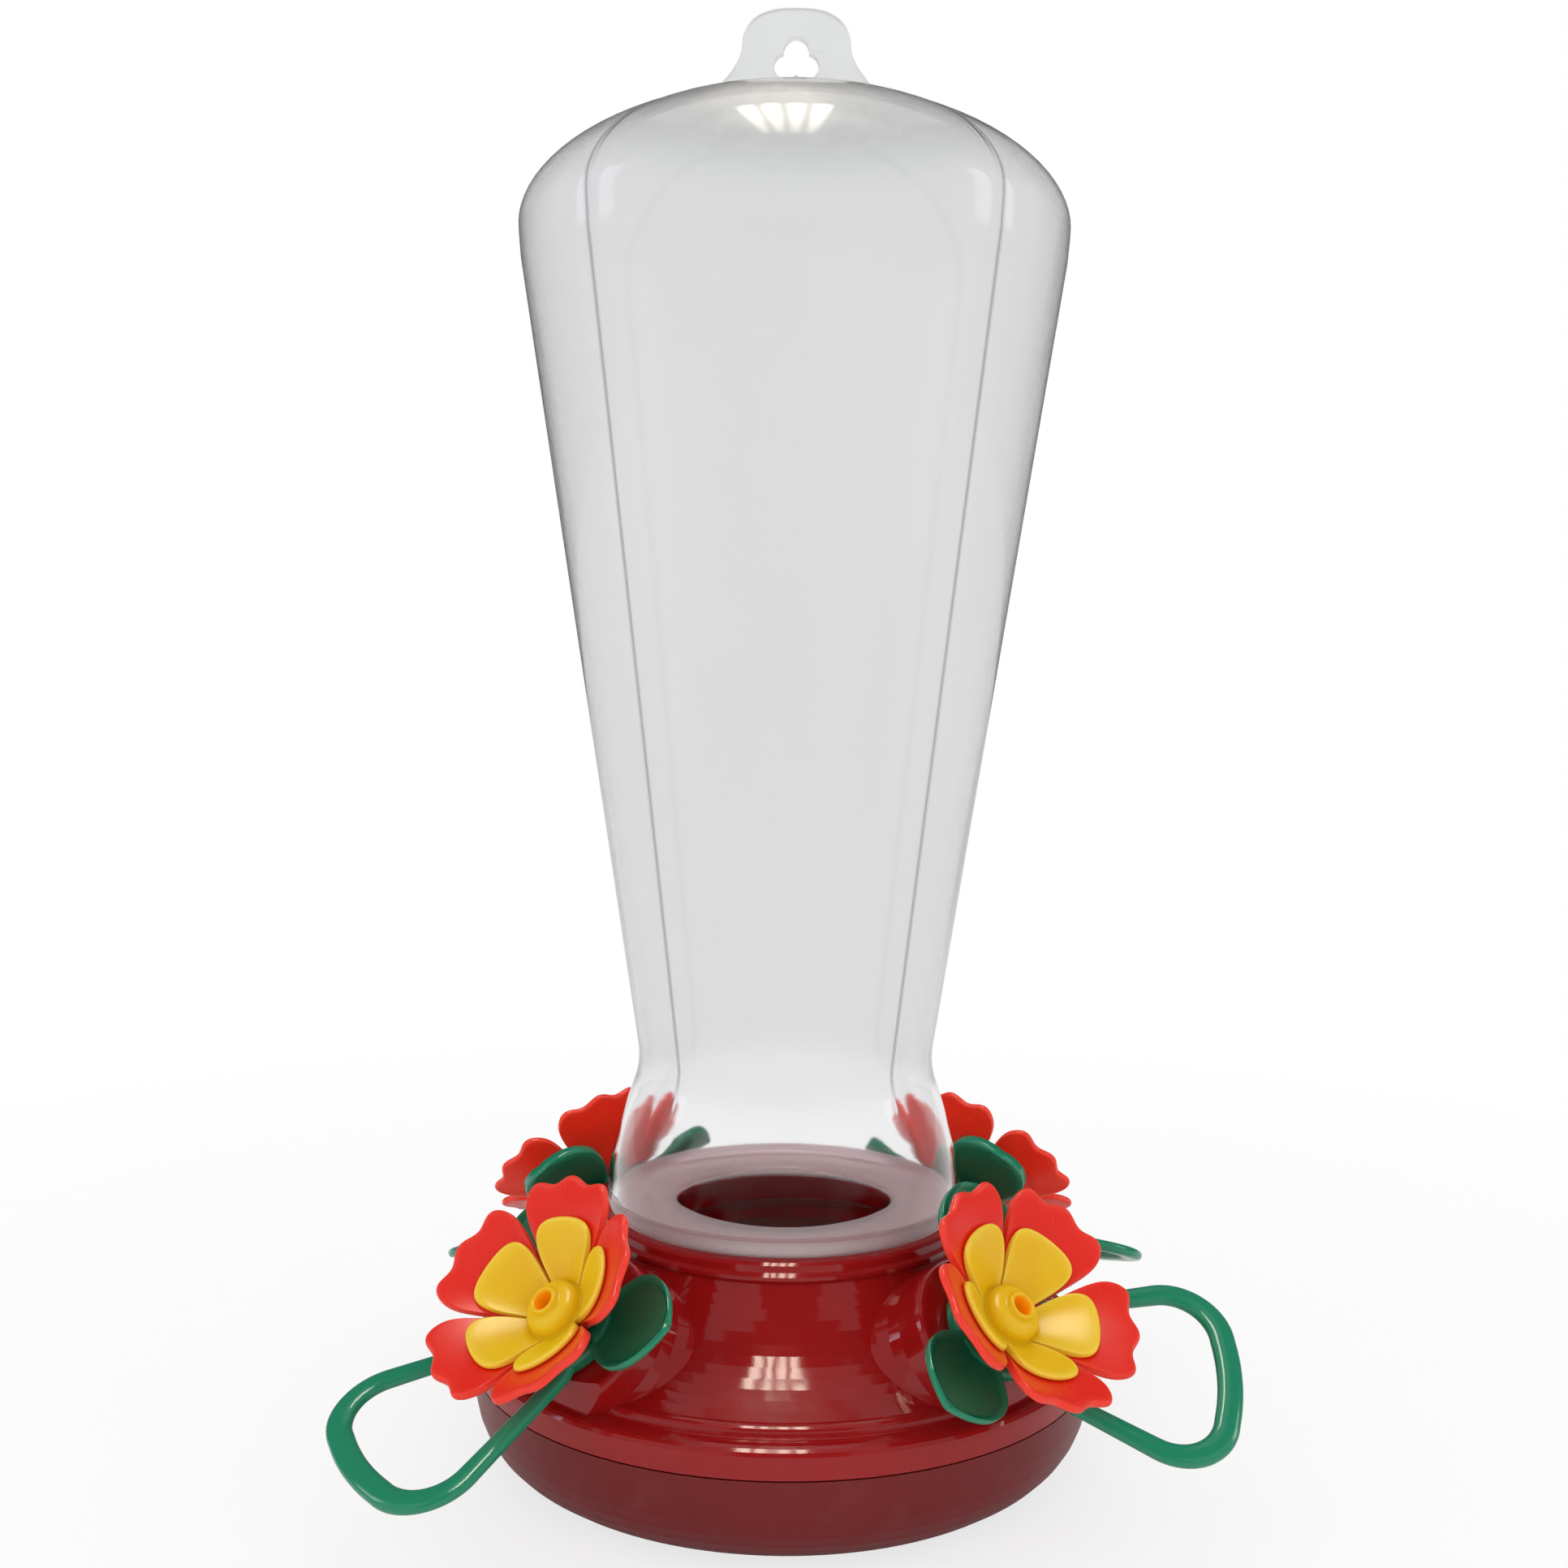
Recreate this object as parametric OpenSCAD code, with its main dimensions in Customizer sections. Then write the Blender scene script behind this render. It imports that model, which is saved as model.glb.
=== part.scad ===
// Hanging nectar feeder for hummingbirds. A clear four-lobed bottle stands mouth down
// in a red two-part base, and four flower ports with turning perches lead to the nectar.
// The origin is the middle of the foot, +Z is up, and the front is -Y.

/* [Bottle] */
// Half width of the bottle across two lobes, where it is widest
bottle_r = 56.4; // [52:0.2:60]
// Half width of the bottle at its waist, above the round skirt
waist_r = 30.6; // [29.6:0.1:31.6]
// Height of the lobed body, from the waist to the start of the shoulder
body_h = 173; // [150:1:190]
// Height of the shoulder and dome above the body
shoulder_h = 28.5; // [22:0.5:34]
// How far the arc of each lobe is moved out from the axis, which sets the depth of the creases
lobe_shift = 5; // [2:0.5:7]
// Wall of the bottle
bottle_wall = 1.5; // [1.1:0.1:1.8]
// Radius of the skirt that sits on the base
skirt_r = 37.5; // [36.8:0.1:38.5]
// Height of the skirt, from the seat to the waist
skirt_h = 31; // [26:0.5:36]
// Inner radius of the mouth
mouth_r = 22.9; // [21:0.1:23.2]
// Wall of the neck
neck_wall = 1.7; // [1.4:0.1:2]
// How far the neck reaches down below the seat
neck_len = 22; // [18:0.5:24]

/* [Hang tab] */
// Width of the tab beside the hole
tab_w = 22.4; // [20:0.2:26]
// Height of the tab above the dome
tab_h = 16.4; // [15:0.2:20]
// Thickness of the tab
tab_t = 3; // [2.4:0.1:4]
// Radius of each of the three lobes of the hang hole
hang_lobe_r = 2.7; // [2.4:0.1:3]
// Sideways distance of the two lower lobes from the middle of the hang hole
hang_lobe_x = 1.9; // [1.5:0.1:2.2]

/* [Base] */
// Largest radius of the base
base_r = 65.2; // [64:0.1:68]
// Radius of the flat foot
foot_r = 48; // [42:0.5:52]
// Height of the seam between dish and cover
seam_z = 19.6; // [18:0.2:21]
// Height of the plane that the bottle's skirt sits on
seat_z = 51; // [50:0.1:53]
// Wall of the dish and the cover
base_wall = 2; // [1.8:0.1:2.3]
// Gap between pieces that move against each other
gap = 0.3; // [0.2:0.05:0.4]
// Radius of the collar under the bottle's skirt
collar_r = 38.4; // [38:0.1:39.4]
// Radial room for the thread between the neck and its socket
thread_room = 1.6; // [1.2:0.1:1.9]

/* [Seals] */
// Thickness of the ring between the bottle and the collar
neck_seal_t = 1.4; // [1:0.1:1.8]
// Width of the ring between the bottle and the collar
neck_seal_w = 5.6; // [4:0.2:6]
// Thickness of the ring between the dish and the cover
base_seal_t = 1.2; // [1:0.1:1.4]

/* [Flower ports] */
// Upward tilt of the flowers
port_tilt = 42.5; // [40:0.5:45]
// Distance of the middle of each boss face in from the largest radius of the base
port_in = 9; // [8.2:0.1:9.6]
// Height of the middle of each boss face
port_z = 38.2; // [37.6:0.1:38.8]
// Radius of each boss face
boss_r = 16; // [14.5:0.5:16.5]
// Radius of the bore in each boss
bore_r = 6.3; // [6.1:0.1:6.8]
// Radius of the red flower at its rim
petal_r = 22.5; // [20:0.5:24]
// Height of the red flower's rim above the boss face
petal_h = 17; // [15.5:0.5:18]
// Thickness of the red petals
petal_t = 1.5; // [1.2:0.1:1.7]
// Radius of the yellow inner flower at its rim
inner_r = 16.1; // [14.6:0.1:17.2]
// Thickness of the yellow petals
inner_t = 1.2; // [1:0.1:1.5]
// Radius of the feeding hole
feed_r = 1.8; // [1.5:0.1:2]
// Length of the red spigot below the boss face
spigot_len = 9; // [7:0.5:10]
// Length of the feeding tube below the boss face
tube_len = 12; // [10:0.5:13]

/* [Perches] */
// Thickness of the perch ring
ring_t = 3.2; // [2.6:0.1:3.4]
// Outer radius of the perch ring
ring_r = 10.5; // [9.8:0.1:11.5]
// Length of the perch loop beyond its bend
loop_len = 37; // [31:1:39]
// Half width of the perch loop at its outer corners
loop_w = 22; // [18:0.5:23]
// Bend of the perch loop out of the plane of its ring
loop_bend = 26; // [18:1:32]
// Width of the perch bar beside the flower
bar_w = 3.2; // [2.8:0.1:3.6]
// Width of the perch bar at its outer end
bar_end_w = 5; // [4:0.1:5.6]
// Thickness of the perch bar
bar_t = 2.6; // [2.2:0.1:3]
// Reach of each leaf from the port axis
leaf_len = 28.5; // [24:0.5:30]
// Width of each leaf
leaf_w = 18.6; // [15:0.2:20]
// Angle between the perch loop and each leaf
leaf_turn = 115; // [108:1:124]
// Rise of each leaf towards its tip
leaf_lift = 4.5; // [3:0.5:6]

/* [Hidden] */
$fn = 96;

// Flowers 1 to 4 stand front left, front right, back right and back left.
port_count = 4;
first_port_angle = 225;
// How far each perch is turned from straight down, as in the photograph
perch_turn = [-14, 47, -18, 3];
// How far each flower's slits are turned from the horizontal
slit_turn = [67, 70, 59, 36];

red = [0.62, 0.10, 0.12];
dish_red = [0.48, 0.12, 0.12];
flower_red = [0.88, 0.15, 0.12];
yellow = [0.93, 0.76, 0.16];
green = [0.06, 0.42, 0.26];
clear = [0.86, 0.88, 0.88, 0.45];
seal_grey = [0.25, 0.25, 0.26];

// Quadratic curve from a to c, drawn towards b
function curve(a, b, c, n) = [for (i = [0:n]) let (t = i / n)
    (1 - t) * (1 - t) * a + 2 * t * (1 - t) * b + t * t * c];

// Value between a and b
function mix(a, b, t) = a + (b - a) * t;

// Unit vector
function unit(v) = v / norm(v);

// Bottle: the heights of its parts
waist_z = seat_z + skirt_h;
shoulder_z = waist_z + body_h;
dome_z = shoulder_z + shoulder_h;
tab_top_z = dome_z + tab_h;
skirt_floor = 2;
round_r = 7;

// Shoulder curve: radius and height at a share of its quarter turn
shoulder_pow_r = 1.23;
shoulder_pow_z = 1.44;
function shoulder_at(r, z, h, w) = [r * pow(cos(w), shoulder_pow_r), z + h * pow(sin(w), shoulder_pow_z)];
function dome_height(r) = shoulder_z
    + shoulder_h * pow(sin(acos(pow(r / bottle_r, 1 / shoulder_pow_r))), shoulder_pow_z);

// Cross-section of the lobed body: four arcs, moved out, that meet in creases at 45 degrees
lobe_steps = 48;
function lobe_radius(r, angle) = let (a = (angle + 45) % 90 - 45, e = lobe_shift * r / bottle_r)
    e * cos(a) + sqrt(pow(r - e, 2) - pow(e * sin(a), 2));
function lobe_ring(r, z) = [for (i = [0:lobe_steps - 1]) let (a = 360 * i / lobe_steps)
    [lobe_radius(r, a) * cos(a), lobe_radius(r, a) * sin(a), z]];

// Profile of the lobed body, moved in by t
body_foot = 1;
shoulder_steps = 8;
last_turn = 84;
function body_profile(t) = concat(
    [[waist_r - t, waist_z - body_foot],
     [bottle_r - t - 0.5, shoulder_z - round_r]],
    [for (i = [0:shoulder_steps]) shoulder_at(bottle_r - t, shoulder_z, shoulder_h - t,
                                              last_turn * i / shoulder_steps)]);

// Closed solid through a stack of rings
module ring_stack(rings) {
    n = len(rings[0]);
    m = len(rings);
    points = [for (ring = rings) each ring];
    sides = [for (k = [0:m - 2], i = [0:n - 1]) let (j = (i + 1) % n)
        each [[k * n + i, (k + 1) * n + i, (k + 1) * n + j], [k * n + i, (k + 1) * n + j, k * n + j]]];
    foot = [[for (i = [0:n - 1]) i]];
    top = [[for (i = [n - 1:-1:0]) (m - 1) * n + i]];
    polyhedron(points, concat(sides, foot, top));
}

module lobed_body(t) {
    ring_stack([for (p = body_profile(t)) lobe_ring(p[0], p[1])]);
}

// Skirt: its top annulus holds the foot of the lobed body
skirt_top_r = waist_r + 0.5;
skirt_top_in = waist_r - bottle_wall - 1.2;
neck_r = mouth_r + neck_wall;

module skirt_outside() {
    rotate_extrude()
        polygon(concat(
            [[0, seat_z], [skirt_r - 2, seat_z]],
            curve([skirt_r - 1.6, seat_z], [skirt_r, seat_z + 0.6], [skirt_r, seat_z + 3.5], 5),
            curve([skirt_r - 0.1, seat_z + 6], [skirt_r - 0.9, seat_z + 15], [skirt_top_r, waist_z - 0.8], 6),
            [[skirt_top_r - 0.2, waist_z], [0, waist_z]]));
}

module skirt_inside() {
    wall = bottle_wall;
    rotate_extrude()
        polygon(concat(
            [[0, seat_z - 1], [mouth_r, seat_z - 1], [mouth_r, seat_z + skirt_floor]],
            curve([skirt_r - wall - 2, seat_z + skirt_floor], [skirt_r - wall, seat_z + skirt_floor],
                  [skirt_r - wall - 0.1, seat_z + skirt_floor + 3], 4),
            curve([skirt_r - wall - 0.3, seat_z + 8], [skirt_r - wall - 1.3, seat_z + 16],
                  [skirt_top_in, waist_z - 2], 6),
            [[skirt_top_in, waist_z], [0, waist_z]]));
}

// Neck of the bottle below its seat: the same piece of plastic, as a plain tube of its own
module bottle_neck() {
    neck_low = seat_z - neck_len;
    color(clear)
        rotate_extrude()
            polygon([[mouth_r, neck_low], [neck_r - 0.5, neck_low], [neck_r, neck_low + 0.8],
                     [neck_r, seat_z], [mouth_r, seat_z]]);
}

// Hang tab: a rounded arch that flares out onto the dome
tab_arch_h = 8.5;
tab_foot_x = 22;
hang_z = tab_top_z - 10.2;
hang_lobe_z = 1.35;

function tab_side() = concat(
    curve([tab_foot_x, dome_height(tab_foot_x) - 1], [tab_w / 2 + 1, tab_top_z - tab_arch_h - 5],
          [tab_w / 2, tab_top_z - tab_arch_h], 7),
    [for (w = [15:15:75]) [tab_w / 2 * pow(cos(w), 0.8), tab_top_z - tab_arch_h + tab_arch_h * pow(sin(w), 0.8)]]);

module hang_tab() {
    side = tab_side();
    n = len(side);
    rotate([90, 0, 0])
        linear_extrude(height = tab_t, center = true)
            polygon(concat(
                [[0, dome_height(tab_foot_x) - 4], [tab_foot_x, dome_height(tab_foot_x) - 4]],
                side,
                [[0, tab_top_z]],
                [for (i = [n - 1:-1:0]) [-side[i][0], side[i][1]]],
                [[-tab_foot_x, dome_height(tab_foot_x) - 4]]));
}

module hang_hole() {
    for (p = [[-hang_lobe_x, -hang_lobe_z], [hang_lobe_x, -hang_lobe_z], [0, hang_lobe_z]])
        translate([p[0], 0, hang_z + p[1]])
            rotate([90, 0, 0])
                cylinder(r = hang_lobe_r, h = tab_t + 4, center = true);
}

module bottle() {
    color(clear)
        difference() {
            union() {
                lobed_body(0);
                skirt_outside();
                hang_tab();
            }
            lobed_body(bottle_wall);
            skirt_inside();
            hang_hole();
        }
}

// Base: the heights and radii that dish and cover share
foot_round_h = seam_z - 1.6;
round_pow = 0.86;
cover_z = seam_z + gap;
spigot_h = 3.2;
skirt_wall = base_wall - 0.5;
cover_in_r = base_r - skirt_wall;
spigot_r = cover_in_r - gap;
spigot_wall = 1.4;
dish_in_r = spigot_r - spigot_wall;
shoulder_in_z = seam_z + spigot_h + base_seal_t;
collar_z = seat_z - gap;
neck_recess_z = seat_z - neck_seal_t;
socket_r = neck_r + thread_room;
socket_wall = 2;
socket_low_z = seat_z - neck_len + 2;
neck_seal_in = socket_r + 0.4;
neck_seal_out = neck_seal_in + neck_seal_w;

// Rounded quarter between the foot and the wall of the dish
function dish_round(r0, r1, z0, z1, w) = [
    r0 + (r1 - r0) * pow(cos(w), round_pow),
    z0 + (z1 - z0) * (1 - pow(sin(w), round_pow))];

module base_dish() {
    steps = 9;
    color(dish_red)
        rotate_extrude()
            polygon(concat(
                [[0, 0]],
                [for (i = [0:steps]) dish_round(foot_r, base_r, 0, foot_round_h, 90 - 90 * i / steps)],
                [[base_r, seam_z], [spigot_r, seam_z], [spigot_r, seam_z + spigot_h],
                 [dish_in_r, seam_z + spigot_h]],
                [for (i = [0:steps]) dish_round(foot_r - base_wall, dish_in_r, base_wall + 0.2,
                                                foot_round_h, 90 * i / steps)],
                [[0, base_wall + 0.2]]));
}

module base_seal() {
    color(seal_grey)
        translate([0, 0, seam_z + spigot_h])
            difference() {
                cylinder(r = spigot_r - 0.1, h = base_seal_t);
                translate([0, 0, -1])
                    cylinder(r = dish_in_r + 0.1, h = base_seal_t + 2);
            }
}

module neck_seal() {
    color(seal_grey)
        translate([0, 0, neck_recess_z])
            difference() {
                cylinder(r = neck_seal_out, h = neck_seal_t);
                translate([0, 0, -1])
                    cylinder(r = neck_seal_in, h = neck_seal_t + 2);
            }
}

// Cover: the outer profile runs from the seam over the stepped lip and the flare to the collar
lip_z = cover_z + 5.6;
step_r = base_r - 4.7;
step_z = lip_z + 2.3;
ridge_z = collar_z - 2.8;
flare_low = [step_r - 1.9, step_z + 0.1];
flare_mid = [collar_r + 6.3, cover_z + 14];
flare_top = [collar_r + 0.2, ridge_z - 1.2];

module cover_outside() {
    rotate_extrude()
        polygon(concat(
            [[0, cover_z], [base_r, cover_z]],
            curve([base_r, cover_z + 3.3], [base_r, lip_z - 0.2], [base_r - 2, lip_z], 4),
            curve([step_r + 0.8, lip_z + 0.3], [step_r + 0.1, lip_z + 0.4], [step_r, lip_z + 1.1], 3),
            curve([step_r - 0.05, lip_z + 1.4], [step_r - 0.2, step_z - 0.1], [step_r - 1.3, step_z], 3),
            curve(flare_low, flare_mid, flare_top, 12),
            [[collar_r + 0.7, ridge_z - 0.4], [collar_r + 0.7, ridge_z + 0.3], [collar_r, ridge_z + 1],
             [collar_r - 0.2, collar_z - 0.5], [collar_r - 0.7, collar_z], [0, collar_z]]));
}

ceiling_z = neck_recess_z - 2.2;

module cover_inside() {
    low = flare_low - [1.1, base_wall];
    mid = flare_mid - [base_wall, 0.8 * base_wall];
    rotate_extrude()
        polygon(concat(
            [[0, -5], [cover_in_r, -5], [cover_in_r, shoulder_in_z], [dish_in_r - 0.4, shoulder_in_z]],
            curve(low, mid, [flare_top[0] - 1.1 * base_wall, flare_top[1]], 10),
            [[flare_top[0] - 1.1 * base_wall - 0.2, ceiling_z], [0, ceiling_z]]));
}

// Carries its children to the boss face of port k: local +Z leaves the face along the port axis,
// local +X runs sideways and local +Y runs up the face.
port_r = base_r - port_in;
module at_port(k) {
    rotate([0, 0, first_port_angle + 90 * k])
        translate([port_r, 0, port_z])
            rotate([0, 90 - port_tilt, 0])
                rotate([0, 0, 90])
                    children();
}

boss_clip_r = base_r - 2.4;
boss_foot = 14.5;
boss_flare = 7;

module boss() {
    rotate_extrude()
        polygon(concat(
            [[0, 0]],
            curve([boss_r - 1.2, 0], [boss_r, 0], [boss_r + 0.2, -1.4], 3),
            curve([boss_r + 1, -6], [boss_r + 2.2, -11], [boss_r + boss_flare, -boss_foot], 4),
            [[boss_r + boss_flare, -boss_foot - 4], [0, -boss_foot - 4]]));
}

module bosses() {
    for (k = [0:port_count - 1])
        intersection() {
            at_port(k)
                boss();
            translate([0, 0, cover_z + 0.7])
                cylinder(r = boss_clip_r, h = collar_z - cover_z - 1.2);
        }
}

module boss_hollows() {
    for (k = [0:port_count - 1])
        intersection() {
            at_port(k)
                translate([0, 0, -boss_foot - 2])
                    cylinder(r = boss_r - base_wall, h = boss_foot + 2 - base_wall);
            cylinder(r = boss_clip_r - base_wall, h = ceiling_z);
        }
}

port_tube_r = bore_r + 2;

module port_tubes() {
    for (k = [0:port_count - 1])
        at_port(k)
            translate([0, 0, -spigot_len])
                cylinder(r = port_tube_r, h = spigot_len - base_wall / 2);
}

module port_bores() {
    for (k = [0:port_count - 1])
        at_port(k)
            translate([0, 0, -spigot_len - 1])
                cylinder(r = bore_r, h = spigot_len + 2);
}

module base_cover() {
    color(red)
        difference() {
            union() {
                difference() {
                    union() {
                        cover_outside();
                        bosses();
                    }
                    cover_inside();
                    boss_hollows();
                }
                port_tubes();
            }
            translate([0, 0, ceiling_z - 1])
                cylinder(r = socket_rim_r, h = seat_z);
            port_bores();
        }
}

// Inner rim of the collar, with the seat of the seal: the same piece of plastic as the cover
socket_rim_r = flare_top[0] - 1.1 * base_wall - 0.2;
module cover_rim() {
    color(red)
        rotate_extrude()
            polygon([[socket_r, ceiling_z], [socket_rim_r, ceiling_z], [socket_rim_r, collar_z],
                     [neck_seal_out + gap, collar_z], [neck_seal_out + gap, neck_recess_z],
                     [socket_r, neck_recess_z]]);
}

// Socket for the neck, below the rim: the same piece of plastic as the cover
module cover_socket() {
    color(red)
        rotate_extrude()
            polygon([[socket_r, socket_low_z], [socket_r + socket_wall, socket_low_z],
                     [socket_r + socket_wall, ceiling_z], [socket_r, ceiling_z]]);
}

// Flowers: five petals with straight sides, rounded corners and narrow slits
petal_count = 5;
petal_steps = 22;
function petal_outline(r, r0, slit, corner, wave) = [
    for (k = [0:petal_count - 1], i = [0:petal_steps])
        let (w = -90 + 180 * i / petal_steps,
             x = sign(w) * pow(abs(sin(w)), 2 / corner[0]),
             y = pow(cos(w), 2 / corner[1]),
             edge = r0 + (r - r0) * y + wave * pow(y, 4) * cos(540 * x),
             turn = 360 / petal_count * (k + 0.5) + x * (180 / petal_count - slit))
        [edge * cos(turn), edge * sin(turn)]];

spigot_flower_r = bore_r - gap;
bore_flower_r = spigot_flower_r - 1.3;
flower_z = ring_t + 2 * gap;
floor_z = flower_z + petal_t + 0.1;
cup_low = [spigot_flower_r + 0.5, floor_z];
cup_mid = [petal_r - 9, petal_h - 4.8];
cup_rim = [petal_r, petal_h];
cup_steps = 8;
function cup_front() = curve(cup_low, cup_mid, cup_rim, cup_steps);
function cup_back() = curve(cup_low + [1.1, -petal_t - 0.1], cup_mid + [1.1, -1.3],
                            cup_rim + [0.3, -1.4], cup_steps);

module petals(k) {
    back = cup_back();
    front = cup_front();
    color(flower_red)
        at_port(k)
            rotate([0, 0, slit_turn[k]])
                intersection() {
                    rotate_extrude()
                        polygon(concat(
                            [[bore_flower_r, -spigot_len], [spigot_flower_r, -spigot_len],
                             [spigot_flower_r, flower_z]],
                            back,
                            [for (i = [cup_steps:-1:0]) front[i]],
                            [[bore_flower_r, floor_z]]));
                    translate([0, 0, -spigot_len - 1])
                        linear_extrude(height = spigot_len + petal_h + 3)
                            polygon(petal_outline(petal_r + 0.6, spigot_flower_r + 0.4, 2.2, [8, 6], 0.6));
                }
}

// Inner flower: its cup lies on the red one, and its stem plugs into the red spigot
lie_gap = 0.15;
stem_r = bore_flower_r - gap;
stem_wall = 1;
dome_r = 5.8;
nozzle_r = feed_r + 1.1;
nozzle_z = petal_h - 5.6;
dome_low = floor_z + 1.7;
share_steps = 8;

// Share of the cup curve at which it reaches radius r
function cup_share(r) = let (a = cup_low[0] - 2 * cup_mid[0] + cup_rim[0], b = 2 * (cup_mid[0] - cup_low[0]),
                             c = cup_low[0] - r)
    abs(a) < 0.001 ? -c / b : (-b + sqrt(b * b - 4 * a * c)) / (2 * a);
function cup_point(t) = (1 - t) * (1 - t) * cup_low + 2 * t * (1 - t) * cup_mid + t * t * cup_rim;
function cup_normal(t) = let (d = unit((1 - t) * (cup_mid - cup_low) + t * (cup_rim - cup_mid))) [-d[1], d[0]];

module nozzle(k) {
    last = cup_share(inner_r);
    back = [for (i = [1:share_steps]) let (t = last * i / share_steps) cup_point(t) + lie_gap * cup_normal(t)];
    front = [for (i = [share_steps:-1:1]) let (t = last * i / share_steps)
        cup_point(t) + (lie_gap + inner_t) * cup_normal(t)];
    color(yellow)
        at_port(k)
            rotate([0, 0, slit_turn[k]])
                intersection() {
                    rotate_extrude()
                        polygon(concat(
                            [[stem_r - stem_wall, -tube_len], [stem_r, -tube_len],
                             [stem_r, floor_z + lie_gap], [cup_low[0], floor_z + lie_gap]],
                            back,
                            front,
                            [[dome_r, dome_low]],
                            curve([dome_r - 0.1, dome_low + 0.8], [dome_r - 0.5, nozzle_z - 1.9],
                                  [nozzle_r, nozzle_z - 1.5], 5),
                            [[nozzle_r, nozzle_z - 0.3], [nozzle_r - 0.3, nozzle_z], [feed_r + 0.5, nozzle_z],
                             [feed_r, nozzle_z - 0.9], [feed_r, dome_low + 1], [stem_r - stem_wall, dome_low - 0.6]]));
                    translate([0, 0, -tube_len - 1])
                        linear_extrude(height = tube_len + petal_h + 3)
                            polygon(petal_outline(inner_r + 0.4, dome_r + 0.3, 2.2, [6, 3.6], 0));
                }
}

// Perch loop: half of its centre line, from the ring to the middle of the outer end
bend_x = 8;
root = [-3.2, 6.9];
side_low = [0, 8];
side_high = [loop_len, loop_w];
loop_end = [loop_len + 2.6, 0];
corner_r = 10;
corner_steps = 6;

function half_loop() =
    let (d1 = unit(side_low - side_high), d2 = unit(loop_end - side_high),
         half = acos(d1 * d2) / 2,
         t1 = side_high + d1 * corner_r / tan(half),
         t2 = side_high + d2 * corner_r / tan(half),
         o = side_high + unit(d1 + d2) * corner_r / sin(half),
         a1 = atan2(t1[1] - o[1], t1[0] - o[0]),
         a2 = atan2(t2[1] - o[1], t2[0] - o[0]))
    concat([root],
           [for (i = [0:3]) mix(side_low, t1, i / 4)],
           [for (i = [0:corner_steps]) let (w = mix(a1, a2, i / corner_steps)) o + corner_r * [cos(w), sin(w)]],
           [mix(t2, loop_end, 0.55), loop_end]);

function whole_loop() = let (h = half_loop(), n = len(h))
    concat(h, [for (i = [n - 2:-1:0]) [h[i][0], -h[i][1]]]);

// Bends the flat centre line up behind the ring
function bent(p) = p[0] <= 0 ? [bend_x + p[0], p[1], ring_t / 2]
                             : [bend_x + p[0] * cos(loop_bend), p[1], ring_t / 2 + p[0] * sin(loop_bend)];
function bend_at(p) = p[0] < -0.01 ? 0 : p[0] > 0.01 ? loop_bend : loop_bend / 2;
function bar_width(p) = mix(bar_w, bar_end_w, pow(max(0, min(1, p[0] / loop_len)), 1.5));

bar_sides = 10;
module perch_loop() {
    flat = whole_loop();
    n = len(flat);
    path = [for (p = flat) bent(p)];
    rings = [for (i = [0:n - 1])
        let (t = unit(path[min(i + 1, n - 1)] - path[max(i - 1, 0)]),
             up = [-sin(bend_at(flat[i])), 0, cos(bend_at(flat[i]))],
             side = unit(cross(up, t)),
             top = cross(t, side),
             w = bar_width(flat[i]))
        [for (j = [0:bar_sides - 1]) let (a = 360 * j / bar_sides)
            path[i] + w / 2 * cos(a) * side + bar_t / 2 * sin(a) * top]];
    ring_stack(rings);
}

// Leaf: a cupped blade that widens from the ring and ends in a blunt point
leaf_root = 8.4;
leaf_t = 1.3;
leaf_cup = 2.2;
leaf_rows = 8;
leaf_columns = 6;
function leaf_width(s) = leaf_w / 2 * (s < 0.5 ? mix(0.45, 1, sin(180 * s))
                                               : mix(0.1, 1, pow(max(0, 1 - pow(2 * s - 1, 2.2)), 0.62)));
function leaf_point(s, q, t) = [
    mix(leaf_root, leaf_len, s),
    q * leaf_width(s),
    ring_t / 2 - 0.1 + leaf_lift * pow(s, 1.6) + leaf_cup * pow(abs(q), 2.4) * leaf_width(s) / leaf_w * 2 + t];

module leaf() {
    m = leaf_rows;
    n = leaf_columns + 1;
    points = concat(
        [for (i = [0:m], j = [0:n - 1]) leaf_point(i / m, 2 * j / (n - 1) - 1, -leaf_t / 2)],
        [for (i = [0:m], j = [0:n - 1]) leaf_point(i / m, 2 * j / (n - 1) - 1, leaf_t / 2)]);
    up = (m + 1) * n;
    under = [for (i = [0:m - 1], j = [0:n - 2]) let (a = i * n + j)
        each [[a, a + n, a + n + 1], [a, a + n + 1, a + 1]]];
    over = [for (f = under) [up + f[2], up + f[1], up + f[0]]];
    edges = concat(
        [for (i = [0:m - 1]) [i * n, (i + 1) * n]],
        [for (j = [0:n - 2]) [m * n + j, m * n + j + 1]],
        [for (i = [m:-1:1]) [i * n + n - 1, (i - 1) * n + n - 1]],
        [for (j = [n - 1:-1:1]) [j, j - 1]]);
    walls = [for (e = edges) each [[e[0], up + e[0], up + e[1]], [e[0], up + e[1], e[1]]]];
    polyhedron(points, concat(under, over, walls));
}

module perch(k) {
    color(green)
        at_port(k)
            translate([0, 0, gap])
                rotate([0, 0, perch_turn[k] - 90])
                    difference() {
                        union() {
                            cylinder(r = ring_r, h = ring_t);
                            perch_loop();
                            rotate([0, 0, leaf_turn])
                                leaf();
                            rotate([0, 0, -leaf_turn])
                                leaf();
                        }
                        translate([0, 0, -1])
                            cylinder(r = bore_r, h = ring_t + 2);
                    }
}

bottle();
bottle_neck();
neck_seal();
base_cover();
cover_rim();
cover_socket();
base_seal();
base_dish();
for (k = [0:port_count - 1]) {
    perch(k);
    petals(k);
    nozzle(k);
}
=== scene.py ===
# %% [markdown]
# # A hanging nectar feeder
# A clear four-lobed bottle stands mouth down in a red base, and four flowers with green
# perches lead to the nectar. The CAD model fixes every size. Pieces whose CAD solid is
# already right only get a finish here. The bottle, the flowers and the perches have thin
# walls and soft edges, so they are rebuilt as finer meshes in the same place.

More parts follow.
